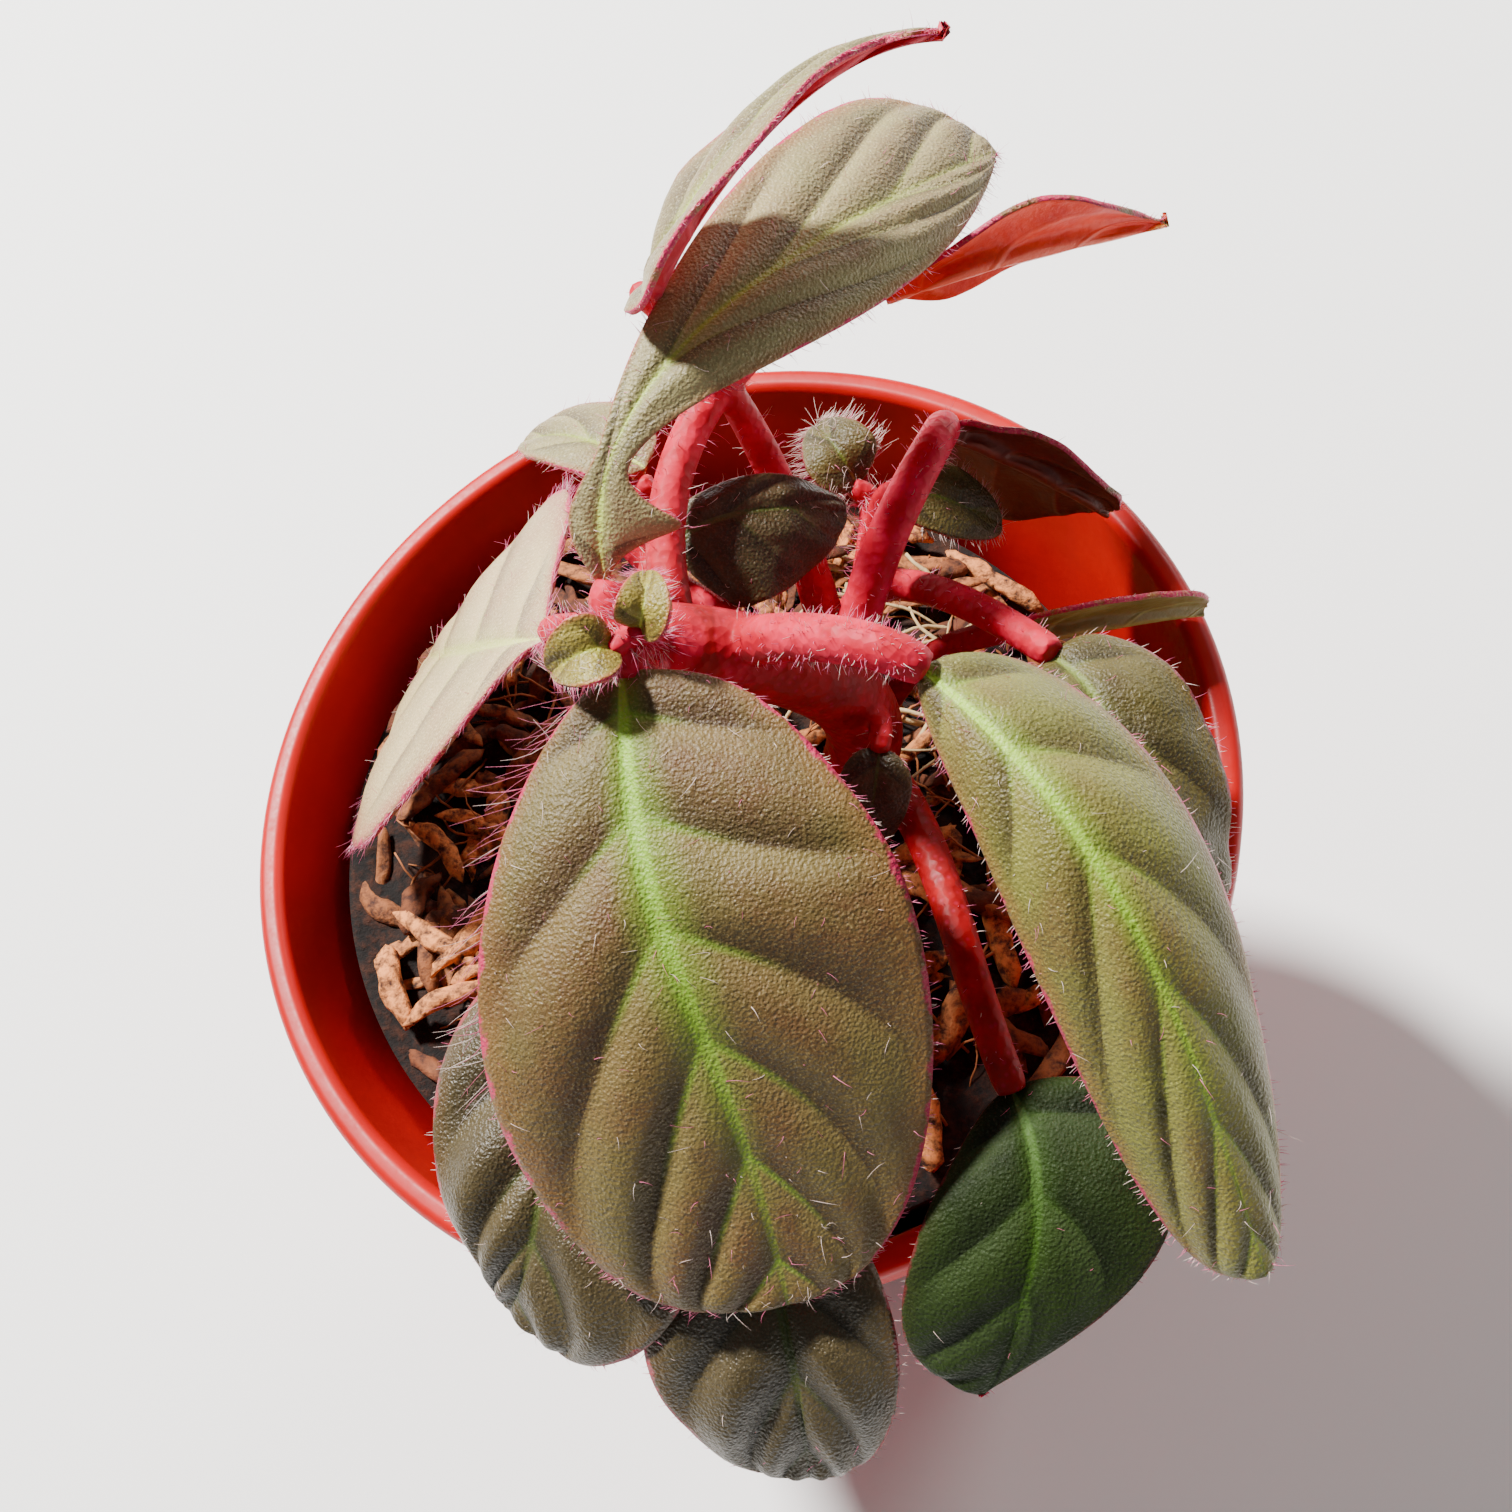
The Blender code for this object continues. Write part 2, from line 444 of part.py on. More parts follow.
def add_mix(collection, cutters, pot_outer):
    """The potting mix: a plug that fills the pot, rough on top, with chips sunk into it."""
    floor = POT_FLOOR + GAP
    foot_radius = pot_outer(floor) - POT_WALL - 1.4 * MM
    top_radius = pot_outer(MIX_EDGE_HEIGHT) - POT_WALL - MIX_PLAY
    depth = MIX_EDGE_HEIGHT - floor

    def surface(x, share):
        return MIX_EDGE_HEIGHT + MIX_TILT * x + MIX_MOUND * (1 - share ** 2)

    mesh = bpy.data.meshes.new("potting_mix")
    plug = bmesh.new()
    bmesh.ops.create_cone(plug, cap_ends=True, segments=MIX_STEPS, radius1=foot_radius,
                          radius2=top_radius, depth=depth)
    bmesh.ops.translate(plug, verts=plug.verts, vec=(0, 0, floor + depth / 2))
    plug.faces.ensure_lookup_table()
    top = max(plug.faces, key=lambda face: face.calc_center_median().z)
    for ring in range(MIX_RINGS):
        bmesh.ops.inset_region(plug, faces=[top], thickness=top_radius / (MIX_RINGS + 1))
    bmesh.ops.poke(plug, faces=[top])
    for vertex in plug.verts:
        if vertex.co.z < floor + depth / 2:
            continue
        share = vertex.co.xy.length / top_radius
        angle = math.atan2(vertex.co.y, vertex.co.x)
        edge_height = MIX_EDGE_HEIGHT + MIX_TILT * top_radius * math.cos(angle)
        radius = share * (pot_outer(edge_height) - POT_WALL - MIX_PLAY)
        rough = 0.0 if share > 0.99 else noise.noise(vertex.co / (5 * MM))
        vertex.co.x = radius * math.cos(angle)
        vertex.co.y = radius * math.sin(angle)
        vertex.co.z = surface(vertex.co.x, share) + MIX_ROUGHNESS * rough
    bmesh.ops.triangulate(plug, faces=plug.faces)
    plug.to_mesh(mesh)
    plug.free()
    mix = add_object("potting_mix", mesh, collection, MIX_BROWN)
    chips = new_collection("mix chips")
    draw = random.Random(CHIP_SEED)
    for index in range(CHIP_COUNT):
        radius = (top_radius - 5 * MM) * math.sqrt(draw.random())
        angle = draw.uniform(0, 2 * math.pi)
        length = draw.uniform(6, 12) * MM
        breadth = draw.uniform(2.0, 3.6) * MM
        chip = bpy.data.meshes.new("chip")
        block = bmesh.new()
        bmesh.ops.create_cube(block, size=1.0)
        for corner in block.verts:
            taper = draw.uniform(0.7, 1.1)
            corner.co.x *= length
            corner.co.y *= breadth * taper
            corner.co.z *= breadth * 0.8 * taper
        block.to_mesh(chip)
        block.free()
        piece = add_object("chip", chip, chips)
        x = radius * math.cos(angle)
        y = radius * math.sin(angle)
        piece.location = (x, y, surface(x, radius / top_radius) + 0.8 * MM)
        piece.rotation_euler = (draw.uniform(-0.5, 0.5), draw.uniform(-0.35, 0.35),
                                draw.uniform(0, math.pi))
    bpy.context.view_layer.update()
    join_collection(mix, chips)
    drill = bpy.data.meshes.new("stem_hole")
    shape = bmesh.new()
    hole_depth = 60 * MM
    bmesh.ops.create_cone(shape, cap_ends=True, segments=16, radius1=STEM_RADIUS + 0.8 * MM,
                          radius2=STEM_RADIUS + 0.8 * MM, depth=hole_depth)
    bmesh.ops.translate(shape, verts=shape.verts,
                        vec=(STEM_FOOT.x, STEM_FOOT.y, STEM_HOLE_FLOOR + hole_depth / 2))
    shape.to_mesh(drill)
    shape.free()
    cutter = add_object("stem_hole", drill, cutters)
    hide_cutter(cutter)
    cut = mix.modifiers.new("stem hole", "BOOLEAN")
    cut.operation = "DIFFERENCE"
    cut.object = cutter
    apply_modifiers(mix)


def add_stem(collection):
    """The stem with every leaf stalk grown from it, as one body."""
    main = tube("stem", STEM_BEND_LINE, STEM_RADIUS, STEM_RADIUS * 0.95, collection, STEM_RED, rings=12)
    stalks = new_collection("leaf stalks")
    tube("stem_foot", STEM_FOOT_LINE, STEM_RADIUS, STEM_RADIUS, stalks, STEM_RED, rings=3)
    for name, (points, start_radius, end_radius) in STALKS.items():
        tube("stalk_" + name, points, start_radius * MM, end_radius * MM, stalks, STEM_RED)
    join_collection(main, stalks)


def build():
    clear_scene()
    plant = new_collection("potted codonoboea")
    cutters = new_collection("cutters")
    pot_outer = add_pot(plant, cutters)
    add_mix(plant, cutters, pot_outer)
    add_stem(plant)
    for name, leaf in LEAVES.items():
        add_leaf(name, leaf, plant)


build()
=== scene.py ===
"""Potted codonoboea: the looks of a small hairy house plant in a thin red nursery pot.

Units are metres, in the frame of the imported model: the origin is the middle of the
pot's flat base, +Z is up and the viewer stands towards -Y.
"""

import math
import random

import bmesh
import bpy
from mathutils import Euler, Matrix, Vector, noise
from mathutils.kdtree import KDTree


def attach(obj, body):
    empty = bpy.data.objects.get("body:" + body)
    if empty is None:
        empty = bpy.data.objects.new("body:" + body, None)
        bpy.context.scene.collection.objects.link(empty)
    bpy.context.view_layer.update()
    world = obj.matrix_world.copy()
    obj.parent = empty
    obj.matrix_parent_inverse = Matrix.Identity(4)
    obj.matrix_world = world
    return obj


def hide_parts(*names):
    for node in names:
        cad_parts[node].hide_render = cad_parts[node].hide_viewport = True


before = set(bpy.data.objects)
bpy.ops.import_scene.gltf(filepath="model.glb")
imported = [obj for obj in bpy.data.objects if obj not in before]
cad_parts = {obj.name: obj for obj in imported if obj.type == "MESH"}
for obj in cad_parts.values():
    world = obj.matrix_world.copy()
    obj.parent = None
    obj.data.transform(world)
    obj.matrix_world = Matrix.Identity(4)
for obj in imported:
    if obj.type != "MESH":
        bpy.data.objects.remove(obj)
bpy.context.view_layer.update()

# The camera
# A phone held close above the plant and a little to its right, looking down
# and towards the back.
MM = 0.001
CAMERA_PLACE = Vector((29.14, -50.47, 178.66)) * MM
CAMERA_RIGHT = Vector((0.9752, 0.0174, -0.2205))
CAMERA_UP = Vector((0.0754, 0.9110, 0.4055))
CAMERA_BACK = Vector((0.2079, -0.4121, 0.8871))
CAMERA_LENS = 40.0
scene = bpy.context.scene
camera_data = bpy.data.cameras.new("camera")
camera_data.lens = CAMERA_LENS
camera_data.sensor_width = 36.0
camera_data.clip_start = 0.005
camera_data.clip_end = 10.0
camera = bpy.data.objects.new("camera", camera_data)
turn = Matrix((CAMERA_RIGHT, CAMERA_UP, CAMERA_BACK)).transposed().to_4x4()
camera.matrix_world = Matrix.Translation(CAMERA_PLACE) @ turn
scene.collection.objects.link(camera)
scene.camera = camera

# The light
# A window light from above, behind and the left with fairly firm shadows, a weak
# fill all round, and a small light from behind that shines through the upper blades.
FILL_STRENGTH = 0.20
PLANT_MIDDLE = Vector((0.0, 0.0, 0.07))


def add_light(name, place, size, watts, colour):
    """A round lamp at a place, aimed at the plant."""
    lamp = bpy.data.lights.new(name, "AREA")
    lamp.shape = "DISK"
    lamp.size = size
    lamp.energy = watts
    lamp.color = colour
    holder = bpy.data.objects.new(name, lamp)
    holder.location = place
    holder.rotation_mode = "QUATERNION"
    holder.rotation_quaternion = (PLANT_MIDDLE - place).to_track_quat("-Z", "Y")
    scene.collection.objects.link(holder)


add_light("key_light", Vector((-0.37, 0.37, 0.80)), size=0.11, watts=31.0, colour=(1.0, 0.98, 0.94))
add_light("rim_light", Vector((0.35, 0.55, 0.35)), size=0.20, watts=2.0, colour=(1.0, 0.97, 0.93))
world = bpy.data.worlds.new("studio")
world.use_nodes = True
backdrop = world.node_tree.nodes["Background"]
backdrop.inputs["Color"].default_value = (1.0, 1.0, 1.0, 1.0)
backdrop.inputs["Strength"].default_value = FILL_STRENGTH
scene.world = world


# Materials are node trees that read the object's own coordinates or its own maps.
class Nodes:
    """A material's node tree, with short calls for the nodes that this scene uses."""

    def __init__(self, name):
        self.material = bpy.data.materials.new(name)
        self.material.use_nodes = True
        self.tree = self.material.node_tree
        self.shader = self.tree.nodes["Principled BSDF"]
        self.place = self.tree.nodes.new("ShaderNodeTexCoord").outputs["Object"]

    def put(self, socket, value):
        if isinstance(value, bpy.types.NodeSocket):
            self.tree.links.new(value, socket)
        elif isinstance(value, tuple) and len(value) == 3 and socket.type == "RGBA":
            socket.default_value = (*value, 1.0)
        else:
            socket.default_value = value

    def set(self, **values):
        """Sets the shader's sockets, each named with _ for its spaces."""
        for name, value in values.items():
            self.put(self.shader.inputs[name.replace("_", " ")], value)

    def add(self, kind, **inputs):
        """A new node of a kind, its inputs named in the same way."""
        node = self.tree.nodes.new("ShaderNode" + kind)
        for name, value in inputs.items():
            self.put(node.inputs[name.replace("_", " ")], value)
        return node

    def math(self, operation, *values):
        node = self.add("Math")
        node.operation = operation
        for socket, value in zip(node.inputs, values):
            self.put(socket, value)
        return node.outputs[0]

    def noise(self, scale, detail=3.0, rough=0.55):
        node = self.add("TexNoise", Vector=self.place, Scale=scale, Detail=detail, Roughness=rough)
        return node.outputs["Fac"]

    def cells(self, scale, feature="SMOOTH_F1"):
        node = self.add("TexVoronoi", Vector=self.place, Scale=scale)
        node.feature = feature
        return node.outputs["Distance"]

    def ease(self, value, low, high, out_low=0.0, out_high=1.0):
        """A smooth step from out_low, where value is low, to out_high, where it is high."""
        node = self.add("MapRange", Value=value, From_Min=low, From_Max=high,
                        To_Min=out_low, To_Max=out_high)
        node.interpolation_type = "SMOOTHSTEP"
        return node.outputs[0]

    def mix(self, share, first, second):
        """The first colour where share is 0, and the second where it is 1."""
        node = self.add("Mix", Factor=share)
        node.data_type = "RGBA"
        self.put(node.inputs[6], first)
        self.put(node.inputs[7], second)
        return node.outputs[2]

    def map(self, name):
        """The two numbers that a mesh keeps for each corner under this name."""
        source = self.add("UVMap")
        source.uv_map = name
        split = self.add("SeparateXYZ", Vector=source.outputs[0])
        return split.outputs[0], split.outputs[1]

    def bump(self, height, strength, distance):
        node = self.add("Bump", Height=height, Strength=strength, Distance=distance)
        return node.outputs[0]


def add_piece(name, mesh, looks, nodes):
    """A finished piece of the plant, at the origin, riding on the one body there is."""
    piece = bpy.data.objects.new(name, mesh)
    for look in looks:
        mesh.materials.append(look)
    scene.collection.objects.link(piece)
    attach(piece, "root")
    if nodes:
        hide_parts(*nodes)
    return piece


def finished_mesh(name, shape):
    """The mesh of a shape, which is then done with."""
    mesh = bpy.data.meshes.new(name)
    shape.to_mesh(mesh)
    shape.free()
    return mesh


# The floor
# A plain pale sheet of paper, a hair below the pot.
FLOOR_RADIUS = 3.0
FLOOR_DROP = 0.2 * MM
shape = bmesh.new()
bmesh.ops.create_circle(shape, cap_ends=True, segments=96, radius=FLOOR_RADIUS)
floor_mesh = finished_mesh("floor", shape)
look = Nodes("pale_paper")
look.set(Base_Color=(0.97, 0.97, 0.97), Roughness=0.9)
floor_mesh.materials.append(look.material)
floor = bpy.data.objects.new("floor", floor_mesh)
floor.location = (0.0, 0.0, -FLOOR_DROP)
scene.collection.objects.link(floor)

# The pot
# A thin moulded nursery pot of satin red polypropylene with a rolled lip and
# five drain holes in its flat floor.
POT_HEIGHT = 66 * MM
POT_RIM_RADIUS = 38 * MM
POT_BASE_RADIUS = 26 * MM
POT_WALL = 1.2 * MM
POT_LIP_WIDTH = 2.0 * MM
POT_LIP_HEIGHT = 3.5 * MM
POT_FLOOR = 1.6 * MM
POT_STEPS = 192
DRAIN_HOLES = 5
DRAIN_RADIUS = 2.4 * MM
DRAIN_CIRCLE = 17 * MM

pot_slope = (POT_RIM_RADIUS - POT_LIP_WIDTH - POT_BASE_RADIUS) / POT_HEIGHT
lip_foot = POT_HEIGHT - POT_LIP_HEIGHT
inner_rim = POT_RIM_RADIUS - POT_LIP_WIDTH - 0.2 * MM


def pot_outer(height):
    """Radius of the outer wall at a height."""
    return POT_BASE_RADIUS + pot_slope * height


def rounded(points, radii, steps):
    """The same line of points with each corner rounded to its radius."""
    line = []
    for index, (point, radius) in enumerate(zip(points, radii)):
        here = Vector(point)
        if radius <= 0 or index in (0, len(points) - 1):
            line.append(here)
            continue
        before = Vector(points[index - 1]) - here
        after = Vector(points[index + 1]) - here
        reach = min(radius, before.length * 0.48, after.length * 0.48)
        start = here + before.normalized() * reach
        end = here + after.normalized() * reach
        for step in range(steps + 1):
            t = step / steps
            line.append(start.lerp(here, t).lerp(here.lerp(end, t), t))
    return line


pot_profile = [
    (0.0, POT_FLOOR),
    (pot_outer(POT_FLOOR) - POT_WALL - 1.0 * MM, POT_FLOOR),
    (pot_outer(POT_FLOOR + 1.0 * MM) - POT_WALL, POT_FLOOR + 1.0 * MM),
    (inner_rim, POT_HEIGHT - 0.5 * MM),
    (inner_rim + 0.5 * MM, POT_HEIGHT),
    (POT_RIM_RADIUS - 0.5 * MM, POT_HEIGHT),
    (POT_RIM_RADIUS, POT_HEIGHT - 0.6 * MM),
    (POT_RIM_RADIUS, lip_foot + 0.4 * MM),
    (POT_RIM_RADIUS - 0.3 * MM, lip_foot),
    (pot_outer(lip_foot) + 0.1 * MM, lip_foot),
    (pot_outer(1.5 * MM), 1.5 * MM),
    (POT_BASE_RADIUS - 1.0 * MM, 0.0),
    (0.0, 0.0),
]
# The rounding of each corner of that line, in millimetres.
pot_rounding = [0, 0.8, 1.0, 0.5, 0.4, 0.5, 0.5, 0.3, 0.2, 0.4, 0.8, 0.5, 0]
pot_line = rounded(pot_profile, [radius * MM for radius in pot_rounding], steps=5)
shape = bmesh.new()
corners = [shape.verts.new((radius, 0.0, height)) for radius, height in pot_line]
edges = [shape.edges.new(pair) for pair in zip(corners, corners[1:])]
bmesh.ops.spin(shape, geom=corners + edges, cent=(0, 0, 0), axis=(0, 0, 1),
               angle=2 * math.pi, steps=POT_STEPS, use_merge=True)
bmesh.ops.remove_doubles(shape, verts=shape.verts, dist=0.001 * MM)
bmesh.ops.recalc_face_normals(shape, faces=shape.faces)
pot_mesh = finished_mesh("pot_wall", shape)
pot_mesh.shade_smooth()

look = Nodes("red_plastic")
flow = look.noise(90.0, 2.0)
scuffs = look.noise(1400.0, 4.0, 0.7)
look.set(
    Base_Color=look.mix(look.ease(flow, 0.35, 0.7), (0.40, 0.0004, 0.0012), (0.48, 0.0006, 0.0018)),
    Roughness=look.ease(scuffs, 0.3, 0.8, 0.38, 0.52),
    Specular_IOR_Level=0.26,
    Normal=look.bump(look.noise(500.0, 2.0), 0.05, 0.0004),
    Subsurface_Weight=0.03,
    Subsurface_Radius=(1.0, 0.12, 0.08),
    Subsurface_Scale=0.002,
)
pot_piece = add_piece("pot_wall", pot_mesh, [look.material], ["pot"])

shape = bmesh.new()
for index in range(DRAIN_HOLES):
    angle = 2 * math.pi * index / DRAIN_HOLES
    ring = bmesh.ops.create_cone(shape, cap_ends=True, segments=32, radius1=DRAIN_RADIUS,
                                 radius2=DRAIN_RADIUS, depth=6 * MM)
    bmesh.ops.translate(shape, verts=ring["verts"],
                        vec=(DRAIN_CIRCLE * math.cos(angle), DRAIN_CIRCLE * math.sin(angle), 0))
drill = bpy.data.objects.new("drill", finished_mesh("drill", shape))
scene.collection.objects.link(drill)


def settle(piece):
    """Makes a piece's modifiers part of its mesh."""
    bpy.context.view_layer.update()
    evaluated = piece.evaluated_get(bpy.context.evaluated_depsgraph_get())
    finished = bpy.data.meshes.new_from_object(evaluated)
    finished.name = piece.data.name + "_done"
    piece.modifiers.clear()
    piece.data = finished


cut = pot_piece.modifiers.new("drain", "BOOLEAN")
cut.operation = "DIFFERENCE"
cut.object = drill
settle(pot_piece)
bpy.data.objects.remove(drill)

# The potting mix
# Coarse coir and bark: a dark crumbly bed that fills the pot and is higher on the
# left, with bent slivers and fibres lying on it and dry roots at the back right.
MIX_EDGE_HEIGHT = 55 * MM
MIX_MOUND = 2 * MM
MIX_TILT = -0.14
MIX_PLAY = 0.8 * MM
MIX_FLOOR = POT_FLOOR + 0.3 * MM
MIX_STEPS = 144
MIX_RINGS = 56
STRIP_COUNT = 270
STRIP_LENGTHS = (3.5, 12.0)
STRIP_BREADTHS = (0.9, 2.3)
STRIP_FLATNESS = (0.4, 0.8)
STRIP_RINGS = 13
STRIP_SIDES = 10
STRIP_SEED = 5
FIBRE_COUNT = 260
FIBRE_RADII = (0.06, 0.14)
FIBRE_SEED = 9
ROOT_COUNT = 46
ROOT_RADII = (0.12, 0.34)
ROOT_SEED = 8
STEM_FOOT = Vector((7.5, 1.0, 30.0)) * MM
STEM_CLEAR = 4.2 * MM


def mix_height(x, share):
    """Height of the bed's smooth form at x, at this share of the way out from the middle."""
    return MIX_EDGE_HEIGHT + MIX_TILT * x + MIX_MOUND * (1 - share ** 2)


def mix_reach(angle):
    """How far out the bed goes at an angle, just short of the pot's sloping wall."""
    edge_x = (pot_outer(MIX_EDGE_HEIGHT) - POT_WALL) * math.cos(angle)
    return pot_outer(MIX_EDGE_HEIGHT + MIX_TILT * edge_x) - POT_WALL - MIX_PLAY


def mix_rough(place):
    """Clods and crumbs: how far the bed stands above or below its smooth form."""
    clods = noise.noise(place / (6 * MM))
    lumps = noise.noise(place / (2.6 * MM) + Vector((7.0, 0.0, 3.0)))
    crumbs = noise.noise(place / (1.1 * MM))
    return (1.6 * clods + 1.2 * lumps + 0.45 * crumbs) * MM


def join_rings(shape, rings):
    """Faces between each ring of corners and the next, which may be a single corner."""
    made = []
    for first, second in zip(rings, rings[1:]):
        for step in range(len(first)):
            following = (step + 1) % len(first)
            far_side = (second[following], second[step]) if len(second) > 1 else (second[0],)
            made.append(shape.faces.new((first[step], first[following], *far_side)))
    return made


shape = bmesh.new()
rings = []
for ring_index in range(MIX_RINGS + 1):
    share = 1.0 - ring_index / MIX_RINGS
    if share == 0.0:
        rings.append([shape.verts.new((0.0, 0.0, mix_height(0.0, 0.0)))])
        break
    ring = []
    for step in range(MIX_STEPS):
        angle = 2 * math.pi * step / MIX_STEPS
        radius = share * mix_reach(angle)
        place = Vector((radius * math.cos(angle), radius * math.sin(angle), 0.0))
        height = mix_height(place.x, share)
        height += mix_rough(place) * min(1.0, (1.0 - share) * 12)
        from_stem = (place.xy - STEM_FOOT.xy).length
        if from_stem < STEM_CLEAR:
            height -= 4 * MM * (1 - from_stem / STEM_CLEAR)
        ring.append(shape.verts.new((place.x, place.y, height)))
    rings.append(ring)
join_rings(shape, rings)
foot_radius = pot_outer(MIX_FLOOR) - POT_WALL - 1.4 * MM
foot_ring = [shape.verts.new((foot_radius * math.cos(2 * math.pi * step / MIX_STEPS),
                              foot_radius * math.sin(2 * math.pi * step / MIX_STEPS),
                              MIX_FLOOR)) for step in range(MIX_STEPS)]
join_rings(shape, [foot_ring, rings[0]])
shape.faces.new(list(reversed(foot_ring)))
bmesh.ops.recalc_face_normals(shape, faces=shape.faces)
bed_mesh = finished_mesh("mix_bed", shape)
bed_mesh.shade_smooth()

look = Nodes("dark_mix")
crumb = look.noise(900.0, 6.0, 0.7)
patch = look.noise(170.0, 3.0)
# The bed's near-black is partly its own dark coir and partly painted shade of the hollows between the
# slivers and fibres lying on it.
bed_colour_and_painted_shade = look.mix(look.ease(crumb, 0.42, 0.70), (0.003, 0.001, 0.0006), (0.045, 0.011, 0.003))
look.set(
    Base_Color=look.mix(look.ease(patch, 0.52, 0.72, 0.0, 0.35), bed_colour_and_painted_shade, (0.080, 0.022, 0.006)),
    Roughness=0.95,
    Normal=look.bump(crumb, 0.9, 0.0008),
)
add_piece("mix_bed", bed_mesh, [look.material], ["potting_mix"])

look = Nodes("coir_and_bark")
tint, _ = look.map("tint")
grain = look.noise(1100.0, 5.0, 0.65)
streak = look.noise(260.0, 3.0)
pale = look.mix(tint, (0.110, 0.024, 0.005), (0.86, 0.310, 0.090))
worn = look.mix(look.ease(grain, 0.32, 0.62), (0.030, 0.006, 0.002), pale)
look.set(
    Base_Color=look.mix(look.ease(streak, 0.55, 0.78, 0.0, 0.3), worn, (0.46, 0.16, 0.06)),
    Roughness=0.85,
    Normal=look.bump(grain, 0.7, 0.0005),
)


def sweep_tube(target, points, radii, sides, wobble=0.0):
    """Adds a closed round tube along points to a bmesh; each ring has its own radius."""
    rings = []
    side_way = None
    for index, point in enumerate(points):
        before = points[max(index - 1, 0)]
        after = points[min(index + 1, len(points) - 1)]
        forward = (after - before).normalized()
        if side_way is None:
            side_way = forward.orthogonal().normalized()
        side_way = (side_way - forward * side_way.dot(forward)).normalized()
        up_way = forward.cross(side_way)
        ring = []
        for step in range(sides):
            angle = 2 * math.pi * step / sides
            radius = radii[index]
            if wobble:
                radius *= 1 + wobble * noise.noise(point * 900 + Vector((angle, 0, 0)))
            ring.append(target.verts.new(point + side_way * radius * math.cos(angle)
                                         + up_way * radius * math.sin(angle)))
        rings.append(ring)
    for face in join_rings(target, rings):
        face.smooth = True
    target.faces.new(list(reversed(rings[0])))
    target.faces.new(rings[-1])


def add_strip(target, place, turn, length, breadth, depth, tone, draw):
    """A bent flat sliver with blunt broken ends, its tint noted on every corner."""
    layer = target.loops.layers.uv.verify()
    offset = Vector((draw.uniform(0, 50), draw.uniform(0, 50), draw.uniform(0, 50)))
    bow = draw.uniform(-0.16, 0.16) * length
    arch = draw.uniform(-0.02, 0.10) * length
    slant = draw.uniform(-0.6, 0.6)
    rings = []
    for index in range(STRIP_RINGS):
        s = 2 * index / (STRIP_RINGS - 1) - 1
        blunt = math.sqrt(max(1 - abs(s) ** 5, 0.05))
        middle = Vector((s * length / 2, bow * (1 - s * s), arch * (1 - s * s)))
        ring = []
        for step in range(STRIP_SIDES):
            angle = 2 * math.pi * step / STRIP_SIDES
            point = middle + Vector((slant * math.cos(angle) * breadth * 0.5 * abs(s),
                                     math.cos(angle) * breadth * 0.5 * blunt,
                                     math.sin(angle) * depth * 0.5 * blunt))
            coarse = noise.noise_vector(point / (1.9 * MM) + offset) * 0.24 * breadth
            drawn_out = Vector((point.x / 3, point.y, point.z))
            fine = noise.noise_vector(drawn_out / (0.45 * MM) + offset) * 0.13 * breadth
            ring.append(target.verts.new(place + turn @ (point + coarse + fine)))
        rings.append(ring)
    ends = [target.faces.new(list(reversed(rings[0]))), target.faces.new(rings[-1])]
    for face in ends + join_rings(target, rings):
        face.smooth = True
        for loop in face.loops:
            loop[layer].uv = tone


draw = random.Random(STRIP_SEED)
chips = bmesh.new()
placed = 0
while placed < STRIP_COUNT:
    angle = draw.uniform(0, 2 * math.pi)
    share = math.sqrt(draw.random())
    length = draw.uniform(*STRIP_LENGTHS) * MM
    breadth = draw.uniform(*STRIP_BREADTHS) * MM
    yaw = draw.uniform(0, 2 * math.pi)
    reach = mix_reach(angle) - breadth * 0.5
    radius = share * reach
    x = radius * math.cos(angle)
    y = radius * math.sin(angle)
    if math.hypot(x, y) + abs(math.cos(yaw - angle)) * length * 0.5 > reach:
        continue
    if math.hypot(x - STEM_FOOT.x, y - STEM_FOOT.y) < STEM_CLEAR + 0.3 * length:
        continue
    height = mix_height(x, share) + draw.uniform(-0.2, 1.7) * MM
    turn = Euler((draw.uniform(-0.6, 0.6), draw.uniform(-0.22, 0.22), yaw)).to_matrix()
    add_strip(chips, Vector((x, y, height)), turn, length, breadth,
              breadth * draw.uniform(*STRIP_FLATNESS), (draw.random() ** 1.4, draw.random()), draw)
    placed += 1

# The strips that show best at the left: place, length and breadth in millimetres, turn
# from the X axis and tilt in degrees, and tint.
LEFT_STRIPS = (
    ((-20.5, -6.5, 60.6), 13.5, 2.3, 62, 8, 1.0),
    ((-27.0, -13.0, 60.6), 7.5, 1.9, 110, 0, 0.9),
    ((-22.0, -15.0, 60.6), 8.5, 1.7, 20, 5, 0.8),
    ((-15.5, -16.5, 60.2), 8.0, 1.8, 80, -6, 0.7),
    ((-25.0, -2.0, 60.8), 7.0, 1.6, 130, 0, 0.8),
    ((-24.0, -9.5, 61.2), 9.0, 1.5, 145, 4, 0.9),
    ((-19.0, -12.0, 61.0), 7.5, 1.4, 15, -5, 0.95),
)
for place, length, breadth, turned, tilted, tone in LEFT_STRIPS:
    turn = Euler((0.0, math.radians(tilted), math.radians(turned))).to_matrix()
    add_strip(chips, Vector(place) * MM, turn, length * MM, breadth * MM, breadth * 0.7 * MM,
              (tone, 0.5), draw)
bmesh.ops.recalc_face_normals(chips, faces=chips.faces)
chips_mesh = finished_mesh("mix_chips", chips)
chips_mesh.uv_layers[0].name = "tint"
add_piece("mix_chips", chips_mesh, [look.material], ())


def wander(draw, place, heading, steps, stride, swing, edge, clear, rise):
    """Points of a thread that wanders over the bed until it meets the edge or the stem.

    Stride is in millimetres, and rise is the thread's height over the bed at a step.
    """
    points = []
    for step in range(steps):
        heading += draw.uniform(-swing, swing)
        place = place + Vector((math.cos(heading), math.sin(heading), 0)) * stride * MM
        if place.xy.length > edge or (place.xy - STEM_FOOT.xy).length < clear:
            break
        bed = mix_height(place.x, place.xy.length / (31 * MM))
        points.append(Vector((place.x, place.y, bed + rise(step))))
    return points


